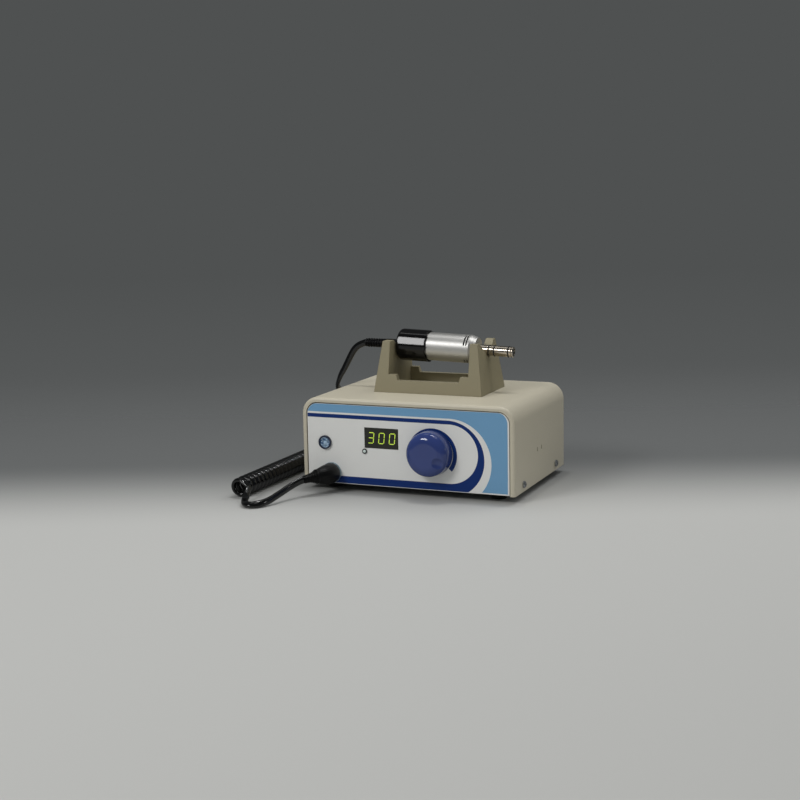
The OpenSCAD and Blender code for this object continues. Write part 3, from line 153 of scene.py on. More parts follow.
def finish(name, colour, rough, grain, relief, shade=0.08, gloss=0.08, cloud=20.0, edge=0.0, lines=None,
           **sockets):
    """A finish on the object's own coordinates. Its tone wanders over clouds of that many millimetres,
    its gloss and its relief follow a grain of that many millimetres, drawn out along the lines' axis,
    and edges look rounded by the edge's radius. The named sockets are set as they are."""
    material = bpy.data.materials.new(name)
    material.use_nodes = True
    tree = material.node_tree
    shader = tree.nodes["Principled BSDF"]
    for key, value in sockets.items():
        shader.inputs[key.replace("_", " ")].default_value = value
    place = add(tree, "ShaderNodeTexCoord").outputs["Object"]
    drawn = place
    if lines:
        drawn = add(tree, "ShaderNodeMapping", {"Vector": place, "Scale": lines}).outputs["Vector"]
    tone = add(tree, "ShaderNodeTexNoise", {"Vector": place, "Scale": 1000 / cloud, "Detail": 5.0})
    skin = add(tree, "ShaderNodeTexNoise", {"Vector": drawn, "Scale": 1000 / grain, "Detail": 3.0})
    paint = add(tree, "ShaderNodeMix", {0: tone.outputs["Fac"], 6: linear(colour, 1 - shade),
                                        7: linear(colour, 1 + shade)}, data_type="RGBA")
    tree.links.new(paint.outputs[2], shader.inputs["Base Color"])
    sheen = add(tree, "ShaderNodeMapRange", {"Value": skin.outputs["Fac"], "From Min": 0.25, "From Max": 0.75,
                                             "To Min": max(0.02, rough - gloss),
                                             "To Max": min(1.0, rough + gloss)})
    tree.links.new(sheen.outputs["Result"], shader.inputs["Roughness"])
    bump = add(tree, "ShaderNodeBump", {"Height": skin.outputs["Fac"], "Distance": 0.001 * relief})
    if edge:
        round_edge = add(tree, "ShaderNodeBevel", {"Radius": 0.001 * edge}, samples=4)
        tree.links.new(round_edge.outputs["Normal"], bump.inputs["Normal"])
    tree.links.new(bump.outputs["Normal"], shader.inputs["Normal"])
    return material


# Plasticised PVC straight from the extruder: nearly black, fairly glossy, so its curls carry small
# bright highlights, with a faint drawn grain of about 1 mm.
pvc_black = finish("pvc_jacket_black", "#060607", 0.14, 1.2, 0.006, shade=0.2, gloss=0.04,
                   Specular_IOR_Level=0.5)

boot_end = Vector((-78.5, -94.4, 14.2))
plug_run = vectors(
    (-81, -98.4, 13.3), (-83.6, -103.5, 11.6), (-86, -109.5, 9.6), (-88, -116, 7.6), (-89.8, -123, 5.8),
    (-91.6, -130, 4.2), (-94, -136.5, 3.4), (-97.2, -141.2, 3.1), (-101.4, -143.4, 3), (-105.8, -142.2, 3),
    (-109.2, -138.4, 3), (-111.8, -133.4, 3.2), (-114, -128, 4), (-116.2, -121.6, 6))
side_run = vectors(
    (-116.5, 28.2, 1.9), (-111.5, 29.6, 2.6), (-107, 31, 4.6), (-103.5, 32.2, 8), (-101, 33, 12.8),
    (-99.3, 33.4, 19), (-98, 33, 27), (-97.2, 32, 36), (-96.6, 30, 45.5), (-96.2, 26.8, 54.5),
    (-95.9, 22.4, 62.4), (-95.6, 16.6, 68.2), (-95.2, 11, 72.4), (-94.2, 6.6, 76.4), (-91.5, 3.9, 81.2),
    (-88.6, 3, 86.5), (-85.3, 2.5, 91.5), (-81.5, 2.3, 98.2), (-77.8, 2.2, 104.7), (-74.7, 2.2, 109.1),
    (-70.6, 2.2, 112.4))
relief_end = Vector((-64.18, 2.2, 115))
cord_wide = 5.8
cord_thick = 3.4
curl_axis = Vector((-127.3, -114, 8.3))
curl_radius = 6.5
curl_pitch = 6.8
curl_turns = 20 + 220 / 360
curl_first = math.radians(50)
points_a_turn = 20
route_steps = 4


def curl(turn):
    """A point on the curls' centre line, that many turns from their first point."""
    angle = curl_first + 2 * math.pi * turn
    return curl_axis + Vector((curl_radius * math.cos(angle), curl_pitch * turn,
                               curl_radius * math.sin(angle)))


def eased(count):
    """Shares from 0 to 1 that set off and arrive gently."""
    return [u * u * (3 - 2 * u) for u in (i / (count - 1) for i in range(count))]


curl_points = [curl(i / points_a_turn) for i in range(math.ceil(curl_turns * points_a_turn))]
curl_points.append(curl(curl_turns))
lead_in = curl_points[0] - cord_wide * (curl_points[1] - curl_points[0]).normalized()
lead_out = curl_points[-1] + cord_wide * (curl_points[-1] - curl_points[-2]).normalized()
first_run = smooth_line([boot_end] + plug_run + [lead_in], route_steps)
last_run = smooth_line([lead_out] + side_run + [relief_end], route_steps)
cord_line = first_run + curl_points + last_run
across_y = Vector((0, 1, 0))
across_z = Vector((0, 0, 1))
turn_in = [across_z.lerp(across_y, u) for u in eased(len(first_run))]
turn_out = [across_y.lerp(across_z, u) for u in eased(len(last_run))]
# The jacket's section is an oval, a little squarer than an ellipse, whose power would be 1
side_round = 0.9
section_sides = 32
section = []
for k in range(section_sides):
    angle = 2 * math.pi * k / section_sides
    wide, thick = math.cos(angle), math.sin(angle)
    section.append((cord_wide / 2 * math.copysign(abs(wide) ** side_round, wide),
                    cord_thick / 2 * math.copysign(abs(thick) ** side_round, thick)))
# Wound cord doesn't lie quite flat: its wide side leans, and eases into that over the first and last turn
curl_lean = math.radians(20)
curl_wides = []
for i, point in enumerate(curl_points):
    turn = i / points_a_turn
    lean = curl_lean * min(1.0, turn, max(0.0, curl_turns - turn))
    outward = Vector((point.x - curl_axis.x, 0, point.z - curl_axis.z)).normalized()
    curl_wides.append(math.cos(lean) * across_y + math.sin(lean) * outward)
points, faces = swept(cord_line, turn_in + curl_wides + turn_out, [section] * len(cord_line))
cord = piece("flat_cord", points, faces, pvc_black)

# Boot of the plug
# A soft PVC moulding over the cord's end: a round grip with fine flutes that tapers and bends down to
# the cord, with low ribs on its thin half that let it flex.

boot_base = Vector((-66.5, -70.4, 15.4))
boot_route = vectors((0, 0, 0), (0, -3, 0), (-0.6, -6.5, 0), (-2, -10, 0), (-4, -13.2, 0),
                     (-6.2, -16.2, -0.2), (-8.4, -19, -0.5), (-10.4, -21.6, -0.8), (-12, -24, -1.2))
boot_radius = 8.4
boot_taper = (1, 1, 0.98, 0.9, 0.75, 0.54, 0.42, 0.38, 0.36)
boot_steps = 6
boot_line = [boot_base + p for p in smooth_line(boot_route, boot_steps)]
boot_girth = smooth_line([boot_radius * g for g in boot_taper], boot_steps)
boot_sides = 72
flutes = 24
flute_deep = 0.22
fluted_rings = 30
outlines = []
for i, girth in enumerate(boot_girth):
    grip = flute_deep * math.sin(math.pi * min(1.0, i / fluted_rings)) ** 2
    ring = []
    for k in range(boot_sides):
        angle = 2 * math.pi * k / boot_sides
        radius = girth - grip * (0.5 + 0.5 * math.cos(flutes * angle))
        ring.append((radius * math.cos(angle), radius * math.sin(angle)))
    outlines.append(ring)
# Soft PVC with a fine spark-eroded skin of the mould, about 0.5 mm, so it is duller than the jacket.
pvc_soft = finish("pvc_moulded_black", "#060607", 0.42, 0.5, 0.03, shade=0.15, Specular_IOR_Level=0.2)
points, faces = swept(boot_line, [across_z] * len(boot_line), outlines)
boot = piece("plug_grip", points, faces, pvc_soft)


def settle(obj):
    """Turns what an object's modifiers make into its plain mesh, and removes them."""
    view = bpy.context.evaluated_depsgraph_get()
    mesh = bpy.data.meshes.new_from_object(obj.evaluated_get(view))
    obj.modifiers.clear()
    obj.data = mesh
    return obj


rib_tree = bpy.data.node_groups.new("ribs", "GeometryNodeTree")
rib_tree.interface.new_socket("Centres", in_out="INPUT", socket_type="NodeSocketGeometry")
rib_size = rib_tree.interface.new_socket("Rib radius", in_out="INPUT", socket_type="NodeSocketFloat")
rib_stuff = rib_tree.interface.new_socket("Stuff", in_out="INPUT", socket_type="NodeSocketMaterial")
rib_tree.interface.new_socket("Ribs", in_out="OUTPUT", socket_type="NodeSocketGeometry")
given = add(rib_tree, "NodeGroupInput")
hoop = add(rib_tree, "GeometryNodeCurvePrimitiveCircle", {"Resolution": 48, "Radius": 1.0})
rib_section = add(rib_tree, "GeometryNodeCurvePrimitiveCircle", {"Resolution": 10,
                                                                 "Radius": given.outputs["Rib radius"]})
solid = add(rib_tree, "GeometryNodeCurveToMesh", {"Curve": hoop.outputs["Curve"],
                                                  "Profile Curve": rib_section.outputs["Curve"]})
rib_way = add(rib_tree, "GeometryNodeInputNamedAttribute", {"Name": "way"}, data_type="FLOAT_VECTOR")
rib_girth = add(rib_tree, "GeometryNodeInputNamedAttribute", {"Name": "girth"}, data_type="FLOAT")
facing = add(rib_tree, "FunctionNodeAlignRotationToVector", {"Vector": rib_way.outputs["Attribute"]},
             axis="Z")
ribs_made = add(rib_tree, "GeometryNodeInstanceOnPoints", {
    "Points": given.outputs["Centres"], "Instance": solid.outputs["Mesh"],
    "Rotation": facing.outputs["Rotation"], "Scale": rib_girth.outputs["Attribute"]})
ribs_real = add(rib_tree, "GeometryNodeRealizeInstances", {"Geometry": ribs_made.outputs["Instances"]})
ribs_set = add(rib_tree, "GeometryNodeSetMaterial", {"Geometry": ribs_real.outputs["Geometry"],
                                                     "Material": given.outputs["Stuff"]})
add(rib_tree, "NodeGroupOutput", {"Ribs": ribs_set.outputs["Geometry"]})


def ribbed(name, rings, size):
    """Round ribs, each given as its centre, the way through it and its girth, in millimetres. The
    ribs are as thick as this share of their girth."""
    mesh = bpy.data.meshes.new(name)
    mesh.from_pydata([0.001 * centre for centre, way, girth in rings], [], [])
    ways = [c for centre, way, girth in rings for c in way]
    mesh.attributes.new("way", "FLOAT_VECTOR", "POINT").data.foreach_set("vector", ways)
    girths = [0.001 * girth for centre, way, girth in rings]
    mesh.attributes.new("girth", "FLOAT", "POINT").data.foreach_set("value", girths)
    obj = bpy.data.objects.new(name, mesh)
    bpy.context.collection.objects.link(obj)
    made = obj.modifiers.new("ribs", "NODES")
    made.node_group = rib_tree
    made[rib_size.identifier] = size
    made[rib_stuff.identifier] = pvc_soft
    return settle(obj)


# The boot's ribs sit on every third ring of its thin half, sunk a little into it
rib_sunk = 0.1
boot_rib_share = 0.16
boot_rings = [(boot_line[i], (boot_line[i + 1] - boot_line[i - 1]).normalized(), boot_girth[i] - rib_sunk)
              for i in range(27, 47, 3)]
boot_ribs = ribbed("boot_ribs", boot_rings, boot_rib_share)

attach(boot, "control_unit")
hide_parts("plug_boot")
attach(boot_ribs, "control_unit")
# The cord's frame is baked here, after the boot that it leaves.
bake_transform(cord)
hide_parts("plug_cord", "curly_cord", "motor_cord")


# Chassis and feet
# A tray folded from zinc plated steel sheet carries everything. Four turned rubber feet are screwed
# to it from below, and the cover and both panels are screwed to its flanges.

def dress(material, *nodes):
    """Gives CAD pieces a finish."""
    for name in nodes:
        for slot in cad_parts[name].material_slots:
            slot.material = material


# Bright zinc with a faint bluish spangle of a few millimetres, rolled to a fine grain.
zinc = finish("zinc_plated_steel", "#a9adb0", 0.36, 0.6, 0.01, shade=0.12, cloud=6.0, Metallic=1.0)
# Zinc plated screw heads, tumbled, so they are rounder and a little duller.
screw_zinc = finish("zinc_plated_screw", "#9b9ea1", 0.3, 0.4, 0.01, shade=0.12, cloud=2.0, edge=0.2,
                    Metallic=1.0)
# Moulded black nitrile rubber: dull, with a dusty bloom in patches.
rubber = finish("nitrile_rubber_black", "#161616", 0.68, 0.6, 0.05, shade=0.3, cloud=5.0, edge=0.3)
dress(zinc, "base_chassis", "transformer_bracket", "speed_pot")
dress(screw_zinc, "foot_screws", "panel_screws", "cradle_screws", "inner_screws", "inlet_screws",
      "socket_nuts")
dress(rubber, "rubber_feet")

# Inside the cabinet
# A glass fibre board on brass standoffs with two capacitors and a rectifier, a transformer in its
# bracket, and a finned sink with the power transistor. The cover hides them all.

# Green solder mask over copper tracks about 3 mm apart.
solder_mask = finish("solder_mask_green", "#1f5a33", 0.32, 1.0, 0.02, shade=0.15)
tree = solder_mask.node_tree
place = add(tree, "ShaderNodeTexCoord").outputs["Object"]
tracks = add(tree, "ShaderNodeTexBrick", {"Vector": place, "Scale": 90.0, "Mortar Size": 0.03,
                                          "Color1": linear("#1d5531"), "Color2": linear("#205b35"),
                                          "Mortar": linear("#3f7d4c")}, offset=0.37, squash=1.4)
tree.links.new(tracks.outputs["Color"], tree.nodes["Principled BSDF"].inputs["Base Color"])
# Varnished silicon steel sheets, stamped and stacked, drawn 1 mm thick so that they show.
core_sheets = finish("silicon_steel_stack", "#5d5853", 0.45, 1.0, 0.25, lines=(0.05, 1.0, 0.05), Metallic=1.0)
# Enamelled copper wire wound in rows that lie 1 mm apart.
winding = finish("enamelled_copper_wire", "#a4662f", 0.3, 1.0, 0.3, lines=(0.05, 0.05, 1.0), Metallic=1.0)
# Black anodised aluminium, extruded, with faint lines along its fins.
sink_black = finish("black_anodised_aluminium", "#2a2b2d", 0.42, 0.8, 0.02, lines=(1.0, 1.0, 0.05),
                    Metallic=1.0)
# Turned brass, bright where the tool left it.
brass = finish("turned_brass", "#b8954a", 0.28, 0.3, 0.01, shade=0.1, cloud=3.0, Metallic=1.0)
# PVC shrink sleeve, printed dark blue and glossy where it is stretched.
sleeve = finish("shrink_sleeve_blue", "#2c3648", 0.25, 2.0, 0.02, shade=0.1)
# Epoxy moulding compound of rectifier and transistor, dull black with a fine grit.
epoxy = finish("epoxy_moulding_black", "#202123", 0.6, 0.3, 0.03, shade=0.15)
dress(solder_mask, "main_board", "display_board")
dress(core_sheets, "transformer_core", "armature")
dress(winding, "transformer_coil", "commutator")
dress(sink_black, "heat_sink")
dress(brass, "board_standoffs", "pot_nut")
dress(sleeve, "capacitors")
dress(epoxy, "rectifier", "power_transistor", "display_module")

# Front panel and its printed film
# The panel is moulded in the cover's colour. A polyester film lies on it, printed white, with a light
# blue field along the top and right, and a navy line that swells round the knob's end.

# Moulded ABS in warm beige. The mould's etched skin, drawn at 0.9 mm, breaks up the highlights.
abs_beige = finish("moulded_abs_beige", "#cbc4b0", 0.4, 0.9, 0.03, shade=0.035, cloud=60.0, edge=0.6)
# Polyester film, printed behind a satin face with a fine stipple of about 0.5 mm.
film_white = finish("printed_film_white", "#eaeae7", 0.42, 0.5, 0.006, shade=0.02, cloud=50.0,
                    Specular_IOR_Level=0.3)
film_blue = finish("printed_film_light_blue", "#74a4ca", 0.42, 0.5, 0.008, shade=0.04, cloud=40.0,
                   Specular_IOR_Level=0.3)
film_navy = finish("printed_film_navy", "#0b2f70", 0.42, 0.5, 0.006, shade=0.06, cloud=40.0,
                   Specular_IOR_Level=0.2)
dress(abs_beige, "front_panel")
dress(film_white, "panel_overlay")

film_face = -66.1
ink_depth = 0.06
ink_sunk = 0.2


def bow(x, z, radius, first, last, steps=48):
    """Points on an arc about (x, z), from one angle to another in degrees."""
    turns = [math.radians(first + (last - first) * i / steps) for i in range(steps + 1)]
    return [(x + radius * math.cos(a), z + radius * math.sin(a)) for a in turns]


def printed(name, loops, face, depth, material):
    """A thin layer of ink: loops of (x, z) in millimetres filled between each other, laid on the place
    that face gives for x and z, and as deep as depth, which is negative towards the front. A share of
    that depth lies under the face."""
    mesh = bpy.data.meshes.new(name)
    shape = bmesh.new()
    for loop in loops:
        corners = [shape.verts.new((x, 0, z)) for x, z in loop]
        for i, corner in enumerate(corners):
            shape.edges.new((corner, corners[(i + 1) % len(corners)]))
    bmesh.ops.triangle_fill(shape, use_beauty=True, edges=shape.edges)
    copied = bmesh.ops.extrude_face_region(shape, geom=list(shape.faces), use_keep_orig=True)
    outer = {v for v in copied["geom"] if isinstance(v, bmesh.types.BMVert)}
    for v in shape.verts:
        x, z = v.co.x, v.co.z
        y = face(x, z) + (depth if v in outer else -ink_sunk * depth)
        v.co = Vector((0.001 * x, 0.001 * y, 0.001 * z))
    bmesh.ops.recalc_face_normals(shape, faces=shape.faces)
    shape.to_mesh(mesh)
    shape.free()
    mesh.materials.append(material)
    obj = bpy.data.objects.new(name, mesh)
    bpy.context.collection.objects.link(obj)
    return obj


def film(x, z):
    """The film lies flat, so its face is the same everywhere."""
    return film_face


film_left, film_right, film_low = -87.5, 86.4, 7.9
corner_x, corner_z = 78.7, 63.7
corner_round = 8.8
corner_in = film_right - corner_x
corner = [i * math.pi / 24 for i in range(13)]
blue_field = [(film_left, 65.9)] + bow(37.5, 30.5, 35.4, 90, -39.7)
blue_field += [(film_right, film_low), (film_right, corner_z)]
blue_field += [(corner_x + corner_in * math.cos(a), corner_z + corner_round * math.sin(a))
               for a in corner[1:]]
blue_field += [(-corner_x - corner_round * math.sin(a), corner_z + corner_round * math.cos(a))
               for a in corner[:-1]]
light_field = printed("light_blue_field", [blue_field], film, -ink_depth, film_blue)
plug_side = -64
navy_line = [(film_left, 64.3)] + bow(35.8, 33.1, 31.2, 90, -56.1) + [(plug_side, 7.2), (plug_side, 13.04)]
navy_line += bow(37.55, 37.12, 24.08, -90, 90) + [(film_left, 61.2)]
dark_line = printed("navy_line", [navy_line], film, -ink_depth, film_navy)
speed_arc = bow(22.76, 36.08, 21.2, 150, -38) + bow(22.2, 36.7, 18.4, -38, 150)
speed_mark = printed("speed_arc", [speed_arc], film, -ink_depth, film_navy)
for ink in (light_field, dark_line, speed_mark):
    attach(ink, "control_unit")

# Display
# A smoked acrylic window, polished, in front of a module with three digits of seven segments. The lit ones
# shine yellow-green, laid on the window's face. The number is a plain speed reading.

# Cast acrylic, smoked nearly to black: mirror bright, with a faint warm haze under its face.
smoked = finish("smoked_acrylic", "#14160a", 0.07, 3.0, 0.002, shade=0.25, gloss=0.02, edge=0.25, IOR=1.49)
dress(smoked, "display_window")
# Epoxy light bars over green chips: bright, and paler in spots of about 2 mm, scattered at random.
lit_bar = bpy.data.materials.new("lit_segment_green")
lit_bar.use_nodes = True
tree = lit_bar.node_tree
shader = tree.nodes["Principled BSDF"]
place = add(tree, "ShaderNodeTexCoord").outputs["Object"]
spark = add(tree, "ShaderNodeTexNoise", {"Vector": place, "Scale": 600.0, "Detail": 1.0})
glow = add(tree, "ShaderNodeMix", {0: spark.outputs["Fac"], 6: linear("#86a626"), 7: linear("#c4d850")},
           data_type="RGBA")
tree.links.new(glow.outputs[2], shader.inputs["Base Color"])
tree.links.new(glow.outputs[2], shader.inputs["Emission Color"])
shader.inputs["Emission Strength"].default_value = 0.75
shader.inputs["Roughness"].default_value = 0.1

segment_tree = bpy.data.node_groups.new("lit segments", "GeometryNodeTree")
segment_tree.interface.new_socket("Places", in_out="INPUT", socket_type="NodeSocketGeometry")
bar_shape = segment_tree.interface.new_socket("Bar", in_out="INPUT", socket_type="NodeSocketObject")
bar_slant = segment_tree.interface.new_socket("Slant", in_out="INPUT", socket_type="NodeSocketFloat")
bar_height = segment_tree.interface.new_socket("Slant height", in_out="INPUT", socket_type="NodeSocketFloat")
bar_stuff = segment_tree.interface.new_socket("Stuff", in_out="INPUT", socket_type="NodeSocketMaterial")
segment_tree.interface.new_socket("Segments", in_out="OUTPUT", socket_type="NodeSocketGeometry")
given = add(segment_tree, "NodeGroupInput")
bar_in = add(segment_tree, "GeometryNodeObjectInfo", {"Object": given.outputs["Bar"]})
bar_turn = add(segment_tree, "GeometryNodeInputNamedAttribute", {"Name": "turn"}, data_type="FLOAT_VECTOR")
bars = add(segment_tree, "GeometryNodeInstanceOnPoints", {
    "Points": given.outputs["Places"], "Instance": bar_in.outputs["Geometry"],
    "Rotation": bar_turn.outputs["Attribute"]})
bars_real = add(segment_tree, "GeometryNodeRealizeInstances", {"Geometry": bars.outputs["Instances"]})
here = add(segment_tree, "GeometryNodeInputPosition").outputs["Position"]
at = add(segment_tree, "ShaderNodeSeparateXYZ", {"Vector": here})
above = add(segment_tree, "ShaderNodeMath", {0: at.outputs["Z"], 1: given.outputs["Slant height"]},
            operation="SUBTRACT")
bar_lean = add(segment_tree, "ShaderNodeMath", {0: above.outputs[0], 1: given.outputs["Slant"]},
               operation="MULTIPLY")
shift = add(segment_tree, "ShaderNodeCombineXYZ", {"X": bar_lean.outputs[0]})
leant = add(segment_tree, "GeometryNodeSetPosition", {"Geometry": bars_real.outputs["Geometry"],
                                                      "Offset": shift.outputs["Vector"]})
bars_set = add(segment_tree, "GeometryNodeSetMaterial", {"Geometry": leant.outputs["Geometry"],
                                                         "Material": given.outputs["Stuff"]})
add(segment_tree, "NodeGroupOutput", {"Segments": bars_set.outputs["Geometry"]})

bar_long = 4.0
bar_wide = 0.68
bar_thick = 0.05
digit_slant = 0.1
half, tip = bar_long / 2, bar_wide / 2
bar_outline = [(-half, 0), (tip - half, -tip), (half - tip, -tip),
               (half, 0), (half - tip, tip), (tip - half, tip)]
bar = printed("segment_bar", [bar_outline], lambda x, z: 0.0, -bar_thick, lit_bar)
window_face = -66.3
digit_xs = (-30.5, -21.2, -11.9)
digit_z = 46.5
rise = 4.3
reach = 2.3
# Each segment is its offset from the digit's middle and whether it stands upright
segments = {"a": (0, rise, 0), "b": (reach, rise / 2, 1), "c": (reach, -rise / 2, 1), "d": (0, -rise, 0),
            "e": (-reach, -rise / 2, 1), "f": (-reach, rise / 2, 1), "g": (0, 0, 0)}
digits_shown = ("abcdg", "abcdef", "abcdef")
lit = [(x, segments[s]) for x, shown in zip(digit_xs, digits_shown) for s in shown]
place_mesh = bpy.data.meshes.new("lit_digits")
place_mesh.from_pydata([(0.001 * (x + s[0]), 0.001 * window_face, 0.001 * (digit_z + s[1])) for x, s in lit],
                       [], [])
place_mesh.attributes.new("turn", "FLOAT_VECTOR", "POINT").data.foreach_set(
    "vector", [c for x, s in lit for c in (0.0, s[2] * math.pi / 2, 0.0)])
digits = bpy.data.objects.new("lit_digits", place_mesh)
bpy.context.collection.objects.link(digits)
lit_now = digits.modifiers.new("lit segments", "NODES")
lit_now.node_group = segment_tree
lit_now[bar_shape.identifier] = bar
lit_now[bar_slant.identifier] = digit_slant
lit_now[bar_height.identifier] = 0.001 * digit_z
lit_now[bar_stuff.identifier] = lit_bar
settle(digits)
bpy.data.objects.remove(bar)
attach(digits, "control_unit")

# Indicator lamp
# A small round light, moulded in polycarbonate: a dark rim, and a clear dome over a pale diffuser. It
# is pushed into the panel from the front.

# Dark green polycarbonate of the rim.
rim_dark = finish("polycarbonate_rim_dark", "#0b1d19", 0.25, 0.6, 0.01, edge=0.2)
# Clear polycarbonate dome over a pale diffuser, its tone wandering in clouds of about 1.5 mm.
dome_clear = finish("polycarbonate_dome_pale", "#e2f0ea", 0.2, 0.6, 0.01, shade=0.1, cloud=1.5)
dress(rim_dark, "status_lamp")


def turned(profile, sides):
    """Points and faces of a shape turned about an axis, from (radius, height) pairs. A pair on the axis
    closes the shape there."""
    points = [(r * math.cos(2 * math.pi * k / sides), r * math.sin(2 * math.pi * k / sides), h)
              for r, h in profile for k in range(sides)]
    faces = []
    for i in range(len(profile) - 1):
        for k in range(sides):
            a, b = i * sides + k, i * sides + (k + 1) % sides
            faces.append((a, b, b + sides, a + sides))
    return points, faces


def facing_front(points, x, y, z):
    """Points turned so that their height grows towards the front, from the place (x, y, z)."""
    return [(x + p[0], y - p[2], z + p[1]) for p in points]


lamp_x, lamp_front, lamp_z = -36.35, -66.9, 35.1
dome_radius = 1.25
dome_rise = 0.45
dome_sunk = 0.1
dome_steps = 8
dome_sides = 32
dome = [(0, -dome_sunk), (dome_radius, -dome_sunk)]
for i in range(dome_steps, -1, -1):
    angle = math.pi / 2 * i / dome_steps
    dome.append((dome_radius * math.sin(angle), dome_rise * math.cos(angle)))
points, faces = turned(dome, dome_sides)
lamp_dome = piece("lamp_dome", facing_front(points, lamp_x, lamp_front, lamp_z), faces, dome_clear)
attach(lamp_dome, "control_unit")

# Sockets
# The foot-control socket has a navy ring and a blue insert with three contacts. The motor's
# plug sits in a cast socket with a nickel face. Ring nuts hold both behind the panel.

# Glass filled nylon, black, with a slightly cloudy moulded skin.
nylon = finish("moulded_nylon_black", "#1c1d20", 0.42, 0.6, 0.03, shade=0.2, cloud=4.0, edge=0.3)
# Blue insert, marbled as mixed moulding powder is, in pale and dark patches of about 1.5 mm.
patch_size = 1.5
insert_blue = finish("marbled_insert_blue", "#6d97bb", 0.3, 0.8, 0.05, edge=0.2)
tree = insert_blue.node_tree
place = add(tree, "ShaderNodeTexCoord").outputs["Object"]
patches = add(tree, "ShaderNodeTexNoise", {"Vector": place, "Scale": 1000 / patch_size, "Detail": 2.0})
marble = add(tree, "ShaderNodeMapRange", {"Value": patches.outputs["Fac"], "From Min": 0.4, "From Max": 0.62})
paint = add(tree, "ShaderNodeMix", {0: marble.outputs["Result"], 6: linear("#2f5480"), 7: linear("#b4d0e6")},
            data_type="RGBA")
tree.links.new(paint.outputs[2], tree.nodes["Principled BSDF"].inputs["Base Color"])
# Nickel plated zinc casting, satin, with a cool cast.
nickel = finish("nickel_plated_casting", "#9fb4c0", 0.3, 0.5, 0.01, shade=0.1, cloud=4.0, edge=0.3,
                Metallic=1.0)
# Navy nylon of the small ring, moulded with a fine matt skin.
nylon_navy = finish("moulded_nylon_navy", "#16243f", 0.4, 0.6, 0.03, shade=0.15, cloud=4.0, edge=0.3)
dress(nylon_navy, "pedal_socket")
dress(nylon, "motor_plug", "mains_inlet", "fuse_drawer", "switch_body", "brush_plate")
dress(insert_blue, "pedal_insert")
dress(nickel, "motor_socket", "pedal_contacts")

# Speed knob
# One moulding in glossy violet-blue ABS: a side with a little draft, a broad rounded front edge and a
# finger dimple. It is pushed on the potentiometer's shaft.

# High gloss ABS, tinted right through: deep colour under a polished skin with a soft orange peel.
abs_violet = finish("gloss_abs_violet", "#33427a", 0.07, 3.0, 0.0006, shade=0.06, gloss=0.02, cloud=30.0)
knob_base = Vector((21.8, -66.7, 37.3))
knob_high = 14.0
foot_radius = 18.7
front_edge = 18.0
round_across = 9.0
round_along = 7.0
flat_edge = front_edge - round_across
foot_round = 0.3
hollow_radius = 9
hollow_deep = 7
knob_sides = 180
shoulder_steps = 40
face_rings = 24
dimple_turn = math.radians(-28)
dimple_out = 12
dimple_at = dimple_out * Vector((math.cos(dimple_turn), math.sin(dimple_turn)))
dimple_wide = 4.6
dimple_deep = 2.2
shoulder = [(flat_edge + round_across * math.cos(a), knob_high - round_along + round_along * math.sin(a))
            for a in (math.pi / 2 * i / shoulder_steps for i in range(shoulder_steps + 1))]
knob_profile = [(0, hollow_deep), (hollow_radius, hollow_deep), (hollow_radius, 0)]
knob_profile += [(foot_radius - foot_round, 0), (foot_radius, foot_round)] + shoulder
knob_profile += [(flat_edge * (1 - i / face_rings), knob_high) for i in range(1, face_rings + 1)]
points, faces = turned(knob_profile, knob_sides)
# Only the front is pressed in, and not the hollow behind it
front_from = 7.5
for i, (x, y, h) in enumerate(points):
    away = (Vector((x, y)) - dimple_at).length / dimple_wide
    if h > front_from and away < 1:
        points[i] = (x, y, h - dimple_deep * (1 - away * away))
knob = piece("speed_knob_moulding", facing_front(points, *knob_base), faces, abs_violet, crease=50.0)
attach(knob, "knob")
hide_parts("speed_knob")
# Ground steel of the shafts, with fine rings left by the wheel.
ground_steel = finish("ground_steel", "#b5b8ba", 0.2, 0.3, 0.005, shade=0.06, cloud=3.0, Metallic=1.0)
dress(ground_steel, "pot_shaft", "rotor_shaft", "bearings", "drive_dog", "inlet_pins")

# Rear panel
# A powder coated steel sheet with the mains inlet, its fuse drawer and the power switch. The rocker
# carries the usual line and ring for on and off.

# Grey powder coat with an orange peel of about 1.5 mm.
powder = finish("powder_coat_grey", "#77797a", 0.5, 1.5, 0.06, shade=0.05, cloud=40.0, edge=0.4)
dress(powder, "rear_panel")
# Polished black ABS of the rocker.
abs_black = finish("gloss_abs_black", "#131316", 0.14, 1.5, 0.006, shade=0.2, gloss=0.05, edge=0.35,
                   Coat_Weight=0.5)
dress(abs_black, "power_rocker")
# Pad printed white ink of the two marks.
mark_white = finish("pad_print_white", "#d8d8d4", 0.5, 0.4, 0.01)
rocker_shape = BVHTree.FromObject(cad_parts["power_rocker"], bpy.context.evaluated_depsgraph_get())
well_behind = 0.1


def rocker_face(x, z):
    """Place of the rocker's outer face behind the panel, in millimetres."""
    hit = rocker_shape.ray_cast(Vector((0.001 * x, well_behind, 0.001 * z)), Vector((0, -1, 0)))[0]
    return 1000 * hit.y


rocker_x = 8.0
line_half = 0.35
line_low, line_high = 43.2, 45.6
ring_z = 39.5
on_mark = [(rocker_x - line_half, line_low), (rocker_x + line_half, line_low),
           (rocker_x + line_half, line_high), (rocker_x - line_half, line_high)]
off_rings = [bow(rocker_x, ring_z, r, 0, 345, 23) for r in (1.3, 0.8)]
for name, loops in (("on_mark", [on_mark]), ("off_mark", off_rings)):
    mark = printed(name, loops, rocker_face, ink_depth, mark_white)
    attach(mark, "rocker")
# Drawn glass of the fuse tube, with its nickel caps seen through it.
fuse_glass = finish("drawn_glass", "#cfd6d2", 0.08, 1.0, 0.002, gloss=0.03, Transmission_Weight=0.6, IOR=1.5)
dress(fuse_glass, "fuse")

# Cover
# One beige moulding over the chassis, with two long rounded corners and a rim round each panel. Pan
# head screws hold it through its sides.

